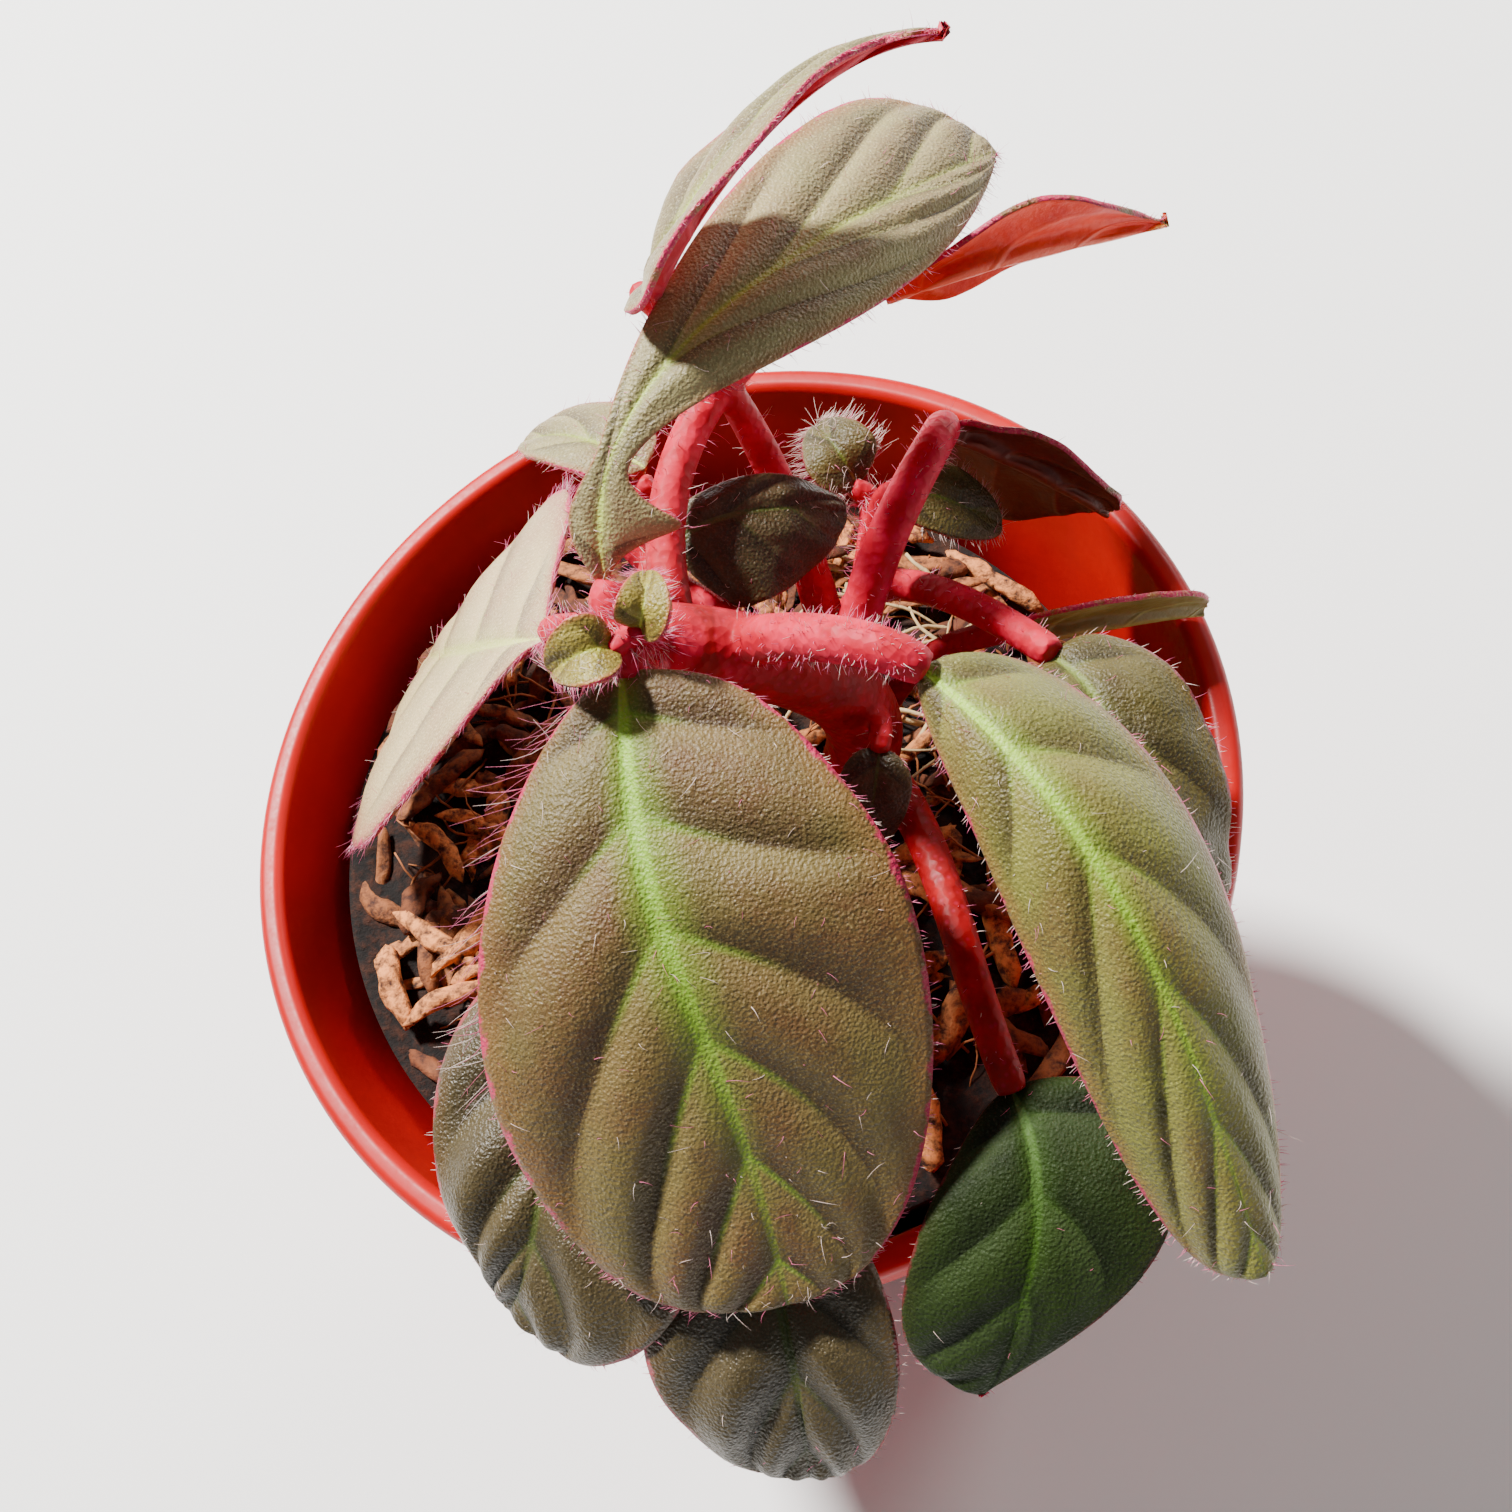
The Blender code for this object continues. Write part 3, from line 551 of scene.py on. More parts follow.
fibres = bmesh.new()
draw = random.Random(FIBRE_SEED)
for index in range(FIBRE_COUNT):
    angle = draw.uniform(0, 2 * math.pi)
    place = Vector((math.cos(angle), math.sin(angle), 0)) * math.sqrt(draw.random()) * 27 * MM
    heading = draw.uniform(0, 2 * math.pi)
    lift = draw.uniform(0.6, 2.2) * MM
    points = wander(draw, place, heading, steps=7, stride=0.9, swing=0.45, edge=29 * MM,
                    clear=STEM_CLEAR, rise=lambda step: lift * math.sin(math.pi * (step + 0.5) / 7))
    if len(points) > 3:
        sweep_tube(fibres, points, [draw.uniform(*FIBRE_RADII) * MM] * len(points), 4)
look = Nodes("coir_fibre")
look.set(
    Base_Color=look.mix(look.noise(600.0, 3.0), (0.16, 0.035, 0.008), (0.55, 0.20, 0.06)),
    Roughness=0.8,
)
add_piece("mix_fibres", finished_mesh("mix_fibres", fibres), [look.material], ())

look = Nodes("dry_root")
look.set(
    Base_Color=look.mix(look.noise(500.0, 3.0), (0.34, 0.22, 0.09), (0.62, 0.47, 0.24)),
    Roughness=0.7,
    Normal=look.bump(look.noise(2400.0, 3.0), 0.4, 0.0003),
)
roots = bmesh.new()
draw = random.Random(ROOT_SEED)
for index in range(ROOT_COUNT):
    x = draw.uniform(6, 27)
    y = draw.uniform(6, 24)
    if math.hypot(x, y) > 27:
        continue
    heading = draw.uniform(0, 2 * math.pi)
    points = wander(draw, Vector((x, y, 0)) * MM, heading, steps=9, stride=1.2, swing=0.35,
                    edge=28 * MM, clear=0,
                    rise=lambda step: (0.6 + 1.6 * math.sin(math.pi * step / 8)) * MM)
    if len(points) > 3:
        thick = draw.uniform(*ROOT_RADII) * MM
        radii = [thick * (1 - 0.5 * index / len(points)) for index in range(len(points))]
        sweep_tube(roots, points, radii, 6, 0.4)
add_piece("dry_roots", finished_mesh("dry_roots", roots), [look.material], ())

# The stem and the leaf stalks
# One fleshy red stem that leans out of the mix and bends over to the crown, with
# every leaf stalk grown from it. Fine pink hairs stand all over it.
STEM_RADIUS = 2.8
STEM_VOXEL = 0.24 * MM
STALK_RINGS = 26
STALK_SIDES = 20
STALK_END = 0.9
STEM_LINES = (
    ((7.5, 1.0, 30.0), (7.5, 1.0, 40.0), (7.5, 1.0, 50.0), (7.5, 1.0, 60.0)),
    ((7.5, 1.0, 58.5), (10.9, 1.2, 66.5), (11.2, 1.0, 77.5), (1.6, -0.6, 89.0)),
)
# Each stalk: four points of its middle line in millimetres, then its radius at the start
# and the end, how pink it is, which is partly painted light (low for stalks in shade),
# how many hairs it has to the millimetre, their length.
STALKS = (
    ("front", (2.5, 0.0, 87.0), (1.6, -0.6, 89.6), (0.8, -1.8, 91.3), (0.3, -3.3, 91.9),
     1.6, 1.3, 0.6, 10, 0.9),
    ("right", (3.0, 1.0, 84.5), (9.5, -0.9, 89.0), (14.6, -3.0, 91.4), (17.9, -4.4, 91.0),
     1.7, 1.3, 0.75, 26, 0.7),
    ("right_back", (10.5, 1.5, 68.0), (11.6, 12.0, 70.5), (18.4, 8.8, 75.5), (25.2, 1.8, 79.5),
     1.3, 1.1, 0.55, 6, 0.6),
    ("left", (2.0, 0.0, 87.0), (-1.0, 0.6, 88.6), (-3.6, 1.2, 88.6), (-5.8, 1.9, 87.6),
     1.3, 1.1, 0.8, 16, 1.0),
    ("top", (2.0, -0.5, 86.5), (0.2, 0.0, 88.4), (-1.0, 1.0, 90.0), (-1.2, 2.2, 90.9),
     1.4, 1.2, 0.7, 10, 1.2),
    ("top_far", (10.8, 2.0, 73.0), (8.0, 14.5, 79.0), (5.3, 19.0, 89.0), (2.9, 18.2, 99.5),
     1.5, 0.8, 0.7, 5, 0.8),
    ("top_red", (2.5, 0.5, 86.0), (2.9, 15.6, 88.2), (10.2, 23.6, 89.0), (15.6, 25.6, 88.8),
     1.4, 1.0, 0.8, 6, 1.2),
    ("middle", (3.0, 0.0, 85.0), (0.6, 3.6, 84.6), (-0.7, 6.9, 83.8), (-0.1, 9.3, 83.9),
     1.2, 0.9, 0.5, 8, 1.0),
    ("back", (10.0, 2.0, 69.0), (13.0, 8.4, 77.0), (16.7, 13.7, 81.5), (19.1, 19.5, 80.2),
     1.6, 1.3, 0.95, 7, 0.7),
    ("low_right", (11.0, 1.0, 70.0), (15.8, -7.5, 72.5), (18.5, -16.1, 74.0), (21.0, -24.9, 72.2),
     1.4, 1.1, 0.05, 3, 0.5),
    ("low_left", (8.0, 0.0, 60.0), (4.0, -8.0, 67.5), (-1.5, -14.0, 72.0), (-4.5, -18.0, 72.9),
     1.3, 1.1, 0.1, 2, 0.5),
    ("low_front", (9.0, 0.0, 58.0), (8.5, -12.0, 67.0), (6.5, -21.0, 70.8), (4.3, -29.0, 70.5),
     1.3, 1.1, 0.1, 2, 0.5),
    ("edge_on", (10.0, 2.0, 62.0), (14.0, 6.5, 67.0), (18.5, 7.6, 70.3), (22.8, 8.0, 71.0),
     1.1, 0.9, 0.3, 3, 0.6),
    ("back_left", (8.8, 1.0, 80.0), (3.0, 6.5, 80.5), (-2.4, 10.6, 83.0), (-0.7, 12.9, 86.6),
     1.1, 0.8, 0.6, 6, 1.0),
    ("small", (11.0, 1.0, 72.0), (13.0, 0.2, 74.8), (13.8, -1.4, 76.6), (13.9, -2.9, 77.2),
     1.0, 0.8, 0.2, 4, 0.6),
    ("crown_left", (2.0, -0.5, 88.5), (1.8, -1.0, 91.0), (1.4, -1.9, 93.0), (0.8, -2.8, 93.8),
     0.9, 0.7, 0.7, 30, 1.3),
    ("crown_right", (2.0, -0.5, 88.5), (2.2, -1.0, 90.6), (2.1, -1.7, 92.4), (1.8, -2.2, 93.5),
     0.9, 0.7, 0.7, 30, 1.3),
    ("shoot_left", (9.5, 1.5, 62.0), (10.5, 10.0, 67.0), (12.3, 17.0, 70.5), (12.1, 19.9, 72.8),
     1.1, 0.9, 0.7, 14, 1.2),
    ("shoot_right", (12.0, 15.0, 69.6), (12.8, 16.2, 72.0), (13.6, 17.2, 74.2), (14.4, 17.6, 75.6),
     1.0, 0.8, 0.6, 12, 1.0),
)


def through(points, t):
    """The smooth curve through four points, at t from 0 to 1."""
    weights = (
        -4.5 * (t - 1 / 3) * (t - 2 / 3) * (t - 1),
        13.5 * t * (t - 2 / 3) * (t - 1),
        -13.5 * t * (t - 1 / 3) * (t - 1),
        4.5 * t * (t - 1 / 3) * (t - 2 / 3),
    )
    return sum((Vector(p) * w for p, w in zip(points, weights)), Vector())


def stalk_points(line, rings, extend=0.0):
    """Points along a stem line, run on past its end by extend millimetres."""
    points = [through(line, index / (rings - 1)) * MM for index in range(rings)]
    if extend:
        heading = (points[-1] - points[-2]).normalized()
        points.append(points[-1] + heading * extend * MM)
    return points


stem = bmesh.new()
for line in STEM_LINES:
    points = stalk_points(line, 30)
    sweep_tube(stem, points, [STEM_RADIUS * MM] * len(points), STALK_SIDES)
for name, *line, start_radius, end_radius, pink, density, length in STALKS:
    points = stalk_points(line, STALK_RINGS, STALK_END)
    radii = [(start_radius + (end_radius - start_radius) * index / (len(points) - 1)) * MM
             for index in range(len(points))]
    radii[-1] *= 0.85
    sweep_tube(stem, points, radii, STALK_SIDES)
bmesh.ops.recalc_face_normals(stem, faces=stem.faces)
stem_mesh = finished_mesh("stem_and_stalks", stem)

# The deep red and the bright pink are partly the stem's own tones and partly painted shade and painted
# light: shaded parts get the deep red, lit stalks the bright pink.
look = Nodes("red_stem")
pinkness_and_painted_light, _ = look.map("pink")
streaks = look.noise(420.0, 4.0, 0.6)
dots = look.cells(1500.0, "F1")
deep_red_and_painted_shade = look.mix(look.ease(streaks, 0.35, 0.7), (0.20, 0.0003, 0.0009), (0.36, 0.0007, 0.0022))
pink_and_painted_light = look.mix(look.ease(streaks, 0.38, 0.68), (0.52, 0.0022, 0.026), (0.74, 0.018, 0.070))
stem_colour = look.mix(pinkness_and_painted_light, deep_red_and_painted_shade, pink_and_painted_light)
look.set(
    Base_Color=look.mix(look.ease(dots, 0.32, 0.12, 0.0, 0.16), stem_colour, (0.70, 0.03, 0.14)),
    Roughness=look.ease(streaks, 0.3, 0.7, 0.48, 0.62),
    Normal=look.bump(dots, 0.5, 0.0002),
    Specular_IOR_Level=0.22,
    Subsurface_Weight=0.08,
    Subsurface_Radius=(1.0, 0.15, 0.10),
    Subsurface_Scale=0.0015,
)
stem_piece = add_piece("stem_and_stalks", stem_mesh, [look.material], ["stem"])
melt = stem_piece.modifiers.new("melt", "REMESH")
melt.mode = "VOXEL"
melt.voxel_size = STEM_VOXEL
melt.use_smooth_shade = True
even = stem_piece.modifiers.new("even", "SMOOTH")
even.factor = 0.5
even.iterations = 3
settle(stem_piece)

# How pink each point of the stem is: that of the nearest stalk, soft at its foot. This
# is partly painted light: the stem and the shaded stalks are low, the lit stalks high.
STEM_PINK_AND_PAINTED_SHADE = 0.12
samples = []
for line in STEM_LINES:
    for point in stalk_points(line, 40):
        samples.append((point, STEM_PINK_AND_PAINTED_SHADE))
for name, *line, start_radius, end_radius, pink, density, length in STALKS:
    for index, point in enumerate(stalk_points(line, 30, STALK_END)):
        samples.append((point, STEM_PINK_AND_PAINTED_SHADE + (pink - STEM_PINK_AND_PAINTED_SHADE) * min(1.0, index / 10)))
nearest = KDTree(len(samples))
for index, (point, pink) in enumerate(samples):
    nearest.insert(point, index)
nearest.balance()
pink_map = stem_piece.data.uv_layers.new(name="pink")
tones = [samples[nearest.find(vertex.co)[1]][1] for vertex in stem_piece.data.vertices]
for loop in stem_piece.data.loops:
    pink_map.data[loop.index].uv = (tones[loop.vertex_index], 0.0)

# The hairs
# Every hair is a thin tapered thread of three sides that bends as it leaves the skin.
HAIR_STEPS = (0.0, 0.35, 0.7, 1.0)


def add_hairs(name, hairs):
    """A mesh of hairs: each has its root, heading, bend, length, radius and look."""
    points = []
    faces = []
    picks = []
    for root, heading, bend, length, radius, look in hairs:
        start = len(points)
        side_way = heading.orthogonal().normalized()
        up_way = heading.cross(side_way).normalized()
        for s in HAIR_STEPS:
            middle = root + heading * length * s + bend * length * s * s
            wide = radius * (1 - 0.75 * s)
            for step in range(3):
                angle = 2 * math.pi * step / 3
                points.append(middle + side_way * wide * math.cos(angle)
                              + up_way * wide * math.sin(angle))
        for ring in range(len(HAIR_STEPS) - 1):
            for step in range(3):
                first = start + ring * 3 + step
                second = start + ring * 3 + (step + 1) % 3
                faces.append((first, second, second + 3, first + 3))
                picks.append(look)
        top = start + 3 * (len(HAIR_STEPS) - 1)
        faces.append((top, top + 1, top + 2))
        faces.append((start + 2, start + 1, start))
        picks += [look, look]
    mesh = bpy.data.meshes.new(name)
    mesh.from_pydata(points, [], faces)
    mesh.shade_smooth()
    add_piece(name, mesh, HAIR_LOOKS, ())
    mesh.polygons.foreach_set("material_index", picks)
    mesh.update()


def hair_look(name, low, high):
    """The look of a hair, between two colours."""
    look = Nodes(name)
    look.set(
        Base_Color=look.mix(look.noise(700.0, 2.0), low, high),
        Roughness=0.35,
    )
    return look.material


HAIR_LOOKS = [
    hair_look("pink_hair", (0.62, 0.05, 0.18), (0.90, 0.26, 0.42)),
    hair_look("pale_hair", (0.78, 0.50, 0.46), (0.92, 0.80, 0.72)),
]


def any_way(draw):
    """A direction drawn at random."""
    return Vector((draw.gauss(0, 1), draw.gauss(0, 1), draw.gauss(0, 1))).normalized()


STALK_HAIR_SEED = 21
draw = random.Random(STALK_HAIR_SEED)
stem_hairs = []
for name, *line, start_radius, end_radius, pink, density, length in STALKS:
    points = stalk_points(line, 40)
    span = sum((b - a).length for a, b in zip(points, points[1:])) / MM
    for index in range(int(span * density)):
        t = draw.uniform(0.12, 1.0)
        at = through(line, t) * MM
        forward = (through(line, min(t + 0.02, 1.02)) - through(line, t - 0.02)).normalized()
        out = any_way(draw)
        out = (out - forward * out.dot(forward)).normalized()
        radius = (start_radius + (end_radius - start_radius) * t) * MM
        heading = (out + forward * draw.uniform(-0.1, 0.6)).normalized()
        long = length * draw.uniform(0.5, 1.3) * MM
        look = 0 if draw.random() < 0.75 else 1
        stem_hairs.append((at + out * radius * 0.93, heading, any_way(draw) * 0.35, long,
                           draw.uniform(0.022, 0.036) * MM, look))
add_hairs("stalk_hairs", stem_hairs)

# The blades
# Soft velvety blades, bronze green above and red below, quilted between their side
# veins, with a pale green midrib and a finely hairy magenta margin.
BLADE_THICKNESS = 0.42 * MM
ROWS_PER_VEIN = 12
BLADE_COLUMNS = 44
MIDRIB_THICKNESS = 1.25 * MM
GROOVE_WIDTH = 0.55
GROOVE_DEPTH = 0.22
VEIN_LEAN_LEFT = 1.6
VEIN_LEAN_RIGHT = 2.2


def outline(t, base, tip):
    """Half width of a blade at t along it, 1 at its widest; small base and tip values are full."""
    widest = base / (base + tip)
    full = widest ** base * (1 - widest) ** tip
    inside = min(max(t, 0.0), 1.0)
    return inside ** base * (1 - inside) ** tip / full


def across(width, fold, curl):
    """Sideways and upward reach of a half blade that starts at the angle fold and turns by curl."""
    if abs(curl) < 1e-4:
        return width * math.cos(fold), width * math.sin(fold)
    sideways = (math.sin(fold + curl) - math.sin(fold)) / curl
    upward = (math.cos(fold) - math.cos(fold + curl)) / curl
    return width * sideways, width * upward


def vein_count(leaf, u, side):
    """How many side veins lie between the base and here: they lean to the tip as they go out."""
    lean = VEIN_LEAN_LEFT if side > 0 else VEIN_LEAN_RIGHT
    return leaf["veins"] * (u - lean * abs(side) * u ** 3 * (1 - u))


def blade_point(leaf, u, side):
    """A point of the upper skin: u runs from base to tip, side from -1, right, to 1, left.

    It comes with the directions to the left, to the face and to the tip there.
    """
    reach = abs(side)
    t = 0.5 - 0.5 * math.cos(math.pi * u)
    along = t + 4 * leaf["sweep"] * reach * t * (1 - t)
    here = through(leaf["midrib"], along)
    step = 0.01
    forward = through(leaf["midrib"], along + step) - through(leaf["midrib"], along - step)
    forward = forward.normalized()
    face = Vector(leaf["face"][0]).lerp(Vector(leaf["face"][1]), along)
    face = (face - forward * face.dot(forward)).normalized()
    left = face.cross(forward)
    half = 0 if side > 0 else 1
    spread = outline(along, leaf["base"][half], leaf["tip"][half])
    width = leaf["width"][half] * spread * reach
    if "lobes" in leaf:
        middle, length, extra = leaf["lobes"][half]
        width += extra * reach * math.exp(-((along - middle) / length) ** 2)
    fold = math.radians(leaf["fold"][half])
    curl = math.radians(leaf["curl"][half]) * reach
    sideways, upward = across(width, fold, curl)
    count, high = leaf.get("wave", (0, 0.0))
    if high:
        upward += high * reach ** 2 * math.sin(2 * math.pi * count * u + half) * spread
    envelope = math.sin(math.pi * min(reach * 0.85 + 0.05, 1.0)) if reach > 0 else 0.0
    bulge = abs(math.sin(math.pi * vein_count(leaf, u, side))) ** 1.1
    upward += leaf.get("swell", 1.0) * leaf["quilt"] * bulge * envelope * spread
    point = here + left * math.copysign(sideways, side) + face * upward
    pucker = noise.noise(point / 2.2) * 0.6 + noise.noise(point / 0.9) * 0.25
    point += face * pucker * leaf.get("pucker", 0.16) * min(1.0, reach * 6) * spread
    groove = math.exp(-(width / GROOVE_WIDTH) ** 2) * GROOVE_DEPTH * (1 - 0.5 * t)
    point -= face * groove
    return point * MM, left, face, forward


def blade_look(name, first, second, vein, margin, rim, green_halo, vein_and_groove_shade_strength, painted_glint_strength, rough,
               shine=0.40):
    """The upper skin of a blade: mottled, with midrib, side veins, margin and fine papillae, and with
    painted shade and light on its quilted bulges, painted shade in its sunken side veins and painted
    glints on the papillae.
    """
    look = Nodes(name)
    side, line = look.map("veins")
    along, _ = look.map("length")
    reach = look.math("ABSOLUTE", side)
    broad = look.noise(115.0, 3.0, 0.5)
    fine = look.noise(420.0, 5.0, 0.65)
    grit = look.noise(6200.0, 2.0, 0.6)
    cells = look.cells(4600.0)
    colour = look.mix(look.ease(broad, 0.36, 0.64), first, second)
    colour = look.mix(look.ease(fine, 0.40, 0.66, 0.0, 0.45), colour, second)
    from_line = look.math("PINGPONG", line, 0.5)
    groove_width = look.ease(reach, 0.0, 1.0, 0.085, 0.030)
    groove = look.ease(from_line, 0.0, groove_width, 1.0, 0.0)
    groove = look.math("MULTIPLY", groove, look.ease(reach, 0.45, 0.95, vein_and_groove_shade_strength, 0.12))
    # Painted shade on the tipward slope of each quilted bulge and painted light just past each side
    # vein, as the key light falls from the back onto the bulges.
    past_vein = look.math("FRACT", line)
    inner_part = look.ease(reach, 0.92, 0.60)
    painted_bulge_shade = look.math("MULTIPLY", look.ease(past_vein, 0.52, 0.97, 0.0, 0.62), inner_part)
    colour = look.mix(painted_bulge_shade, colour, tuple(part * 0.30 for part in first))
    painted_bulge_light = look.math("MULTIPLY", look.ease(past_vein, 0.42, 0.06, 0.0, 0.40), inner_part)
    colour = look.mix(painted_bulge_light, colour, tuple(part * 1.7 + 0.012 for part in second))
    # In the side-vein grooves the colour is the green vein near the midrib and, farther out, a darker
    # tone that is partly the vein's own colour and partly painted shade in the sunken vein.
    shaded = tuple(part * 0.40 for part in first)
    colour = look.mix(groove, colour, look.mix(look.ease(reach, 0.12, 0.50), vein, shaded))
    fade = look.ease(along, 0.25, 1.0, 1.0, 0.15)
    halo = look.ease(reach, 0.0, look.ease(along, 0.0, 1.0, 0.26, 0.14), 1.0, 0.0)
    halo = look.math("MULTIPLY", look.math("MULTIPLY", halo, green_halo), fade)
    colour = look.mix(halo, colour, vein)
    rib = look.ease(reach, look.ease(along, 0.0, 1.0, 0.030, 0.012),
                    look.ease(along, 0.0, 1.0, 0.075, 0.035), 1.0, 0.0)
    rib = look.math("MULTIPLY", rib, look.ease(along, 0.35, 1.0, 1.0, 0.30))
    pale_rib = tuple(min(1.0, part * 1.5 + 0.02) for part in vein)
    colour = look.mix(rib, colour, look.mix(look.ease(along, 0.0, 0.55), pale_rib, vein))
    ragged = look.math("ADD", reach, look.ease(fine, 0.3, 0.7, -0.03, 0.03))
    colour = look.mix(look.ease(ragged, 0.80, 0.98, 0.0, 0.75), colour, margin)
    colour = look.mix(look.ease(ragged, 0.975, 1.0), colour, rim)
    # Painted glints: bright specks in the colour where the papillae catch the light.
    painted_glint = look.ease(grit, 0.52, 0.72, 0.0, painted_glint_strength)
    colour = look.mix(painted_glint, colour, tuple(min(1.0, part * 2.3 + 0.06) for part in second))
    height = look.math("ADD", look.math("MULTIPLY", cells, 1.4), grit)
    look.set(
        Base_Color=colour,
        Roughness=look.ease(grit, 0.4, 0.7, rough, rough - 0.16),
        Normal=look.bump(height, 0.75, 0.00010),
        Specular_IOR_Level=shine,
        Sheen_Weight=0.03,
        Sheen_Roughness=0.4,
        Subsurface_Weight=0.05,
        Subsurface_Radius=(0.9, 0.5, 0.2),
        Subsurface_Scale=0.0008,
    )
    return look.material


def under_look(name, first, second, vein, glow):
    """The underside of a blade: red, with paler ribs and a soft glow where light comes through."""
    look = Nodes(name)
    side, line = look.map("veins")
    reach = look.math("ABSOLUTE", side)
    patch = look.noise(160.0, 4.0, 0.6)
    fine = look.noise(1500.0, 3.0)
    colour = look.mix(look.ease(patch, 0.36, 0.66), first, second)
    from_line = look.math("PINGPONG", line, 0.5)
    ribs = look.math("MULTIPLY", look.ease(from_line, 0.0, 0.07, 1.0, 0.0),
                     look.ease(reach, 0.5, 0.95, 0.6, 0.0))
    colour = look.mix(ribs, colour, vein)
    colour = look.mix(look.ease(reach, 0.02, 0.09, 0.9, 0.0), colour, vein)
    look.set(
        Base_Color=colour,
        Roughness=0.5,
        Normal=look.bump(look.math("ADD", fine, look.math("MULTIPLY", ribs, 1.5)), 0.4, 0.0003),
        Subsurface_Weight=glow,
        Subsurface_Radius=(1.0, 0.35, 0.15),
        Subsurface_Scale=0.0012,
    )
    return look.material


RED_BELOW = under_look(
    "red_underside", first=(0.50, 0.0012, 0.020), second=(0.66, 0.012, 0.040), vein=(0.72, 0.06, 0.10),
    glow=0.15,
)
ORANGE_BELOW = under_look(
    "orange_underside", first=(0.60, 0.010, 0.006), second=(0.80, 0.075, 0.020),
    vein=(0.85, 0.13, 0.06), glow=0.30,
)
# A dark brown underside: partly the blade's own red-brown, partly painted shade, for an underside that
# lies in the shade of the pot wall.
BROWN_AND_PAINTED_SHADE_BELOW = under_look(
    "brown_underside", first=(0.10, 0.007, 0.004), second=(0.17, 0.026, 0.008),
    vein=(0.22, 0.030, 0.015), glow=0.10,
)
OLIVE_BELOW = under_look(
    "olive_underside", first=(0.17, 0.13, 0.020), second=(0.24, 0.20, 0.045), vein=(0.36, 0.32, 0.08),
    glow=0.15,
)
BRONZE = blade_look(
    "bronze_blade", first=(0.105, 0.048, 0.014), second=(0.112, 0.083, 0.019), vein=(0.17, 0.31, 0.016),
    margin=(0.175, 0.085, 0.021), rim=(0.45, 0.012, 0.075), green_halo=0.62, vein_and_groove_shade_strength=0.55,
    painted_glint_strength=0.45, rough=0.55,
)
OLIVE = blade_look(
    "olive_blade", first=(0.128, 0.088, 0.020), second=(0.138, 0.136, 0.022), vein=(0.22, 0.37, 0.018),
    margin=(0.210, 0.110, 0.024), rim=(0.46, 0.016, 0.075), green_halo=0.55, vein_and_groove_shade_strength=0.35,
    painted_glint_strength=0.40, rough=0.52,
)
MOSS = blade_look(
    "moss_blade", first=(0.052, 0.033, 0.007), second=(0.074, 0.060, 0.010), vein=(0.09, 0.12, 0.010),
    margin=(0.110, 0.070, 0.012), rim=(0.30, 0.020, 0.050), green_halo=0.30, vein_and_groove_shade_strength=0.35,
    painted_glint_strength=0.45, rough=0.50,
)
GREY = blade_look(
    "grey_green_blade", first=(0.235, 0.165, 0.082), second=(0.260, 0.228, 0.100),
    vein=(0.33, 0.41, 0.065), margin=(0.31, 0.14, 0.055), rim=(0.55, 0.016, 0.100), green_halo=0.5,
    vein_and_groove_shade_strength=0.35, painted_glint_strength=0.45, rough=0.50,
)
# A pale look that is partly the blade's own colour and partly painted light, for a blade that faces the
# key light full on.
PALE_AND_PAINTED_LIGHT = blade_look(
    "pale_blade", first=(0.410, 0.255, 0.130), second=(0.430, 0.330, 0.160), vein=(0.48, 0.50, 0.13),
    margin=(0.36, 0.12, 0.070), rim=(0.55, 0.016, 0.100), green_halo=0.4, vein_and_groove_shade_strength=0.30,
    painted_glint_strength=0.50, rough=0.50,
)
# A darker copy of the bronze look for blades in shade: partly their own dark colour, partly painted
# shade.
DARK_AND_PAINTED_SHADE = blade_look(
    "dark_blade", first=(0.036, 0.025, 0.008), second=(0.056, 0.040, 0.014), vein=(0.048, 0.075, 0.010),
    margin=(0.080, 0.044, 0.012), rim=(0.30, 0.030, 0.045), green_halo=0.20, vein_and_groove_shade_strength=0.45,
    painted_glint_strength=0.45, rough=0.42,
)
# Very dark green: partly the blade's own colour, partly painted shade under the upper blades.
DEEP_GREEN_AND_PAINTED_SHADE = blade_look(
    "deep_green_blade", first=(0.007, 0.013, 0.002), second=(0.014, 0.027, 0.003),
    vein=(0.026, 0.062, 0.004), margin=(0.022, 0.030, 0.005), rim=(0.10, 0.015, 0.015), green_halo=0.5,
    vein_and_groove_shade_strength=0.3, painted_glint_strength=0.15, rough=0.66, shine=0.14,
)
YOUNG = blade_look(
    "young_blade", first=(0.200, 0.125, 0.018), second=(0.240, 0.200, 0.035), vein=(0.34, 0.36, 0.04),
    margin=(0.40, 0.130, 0.040), rim=(0.62, 0.030, 0.110), green_halo=0.5, vein_and_groove_shade_strength=0.4,
    painted_glint_strength=0.45, rough=0.45,
)


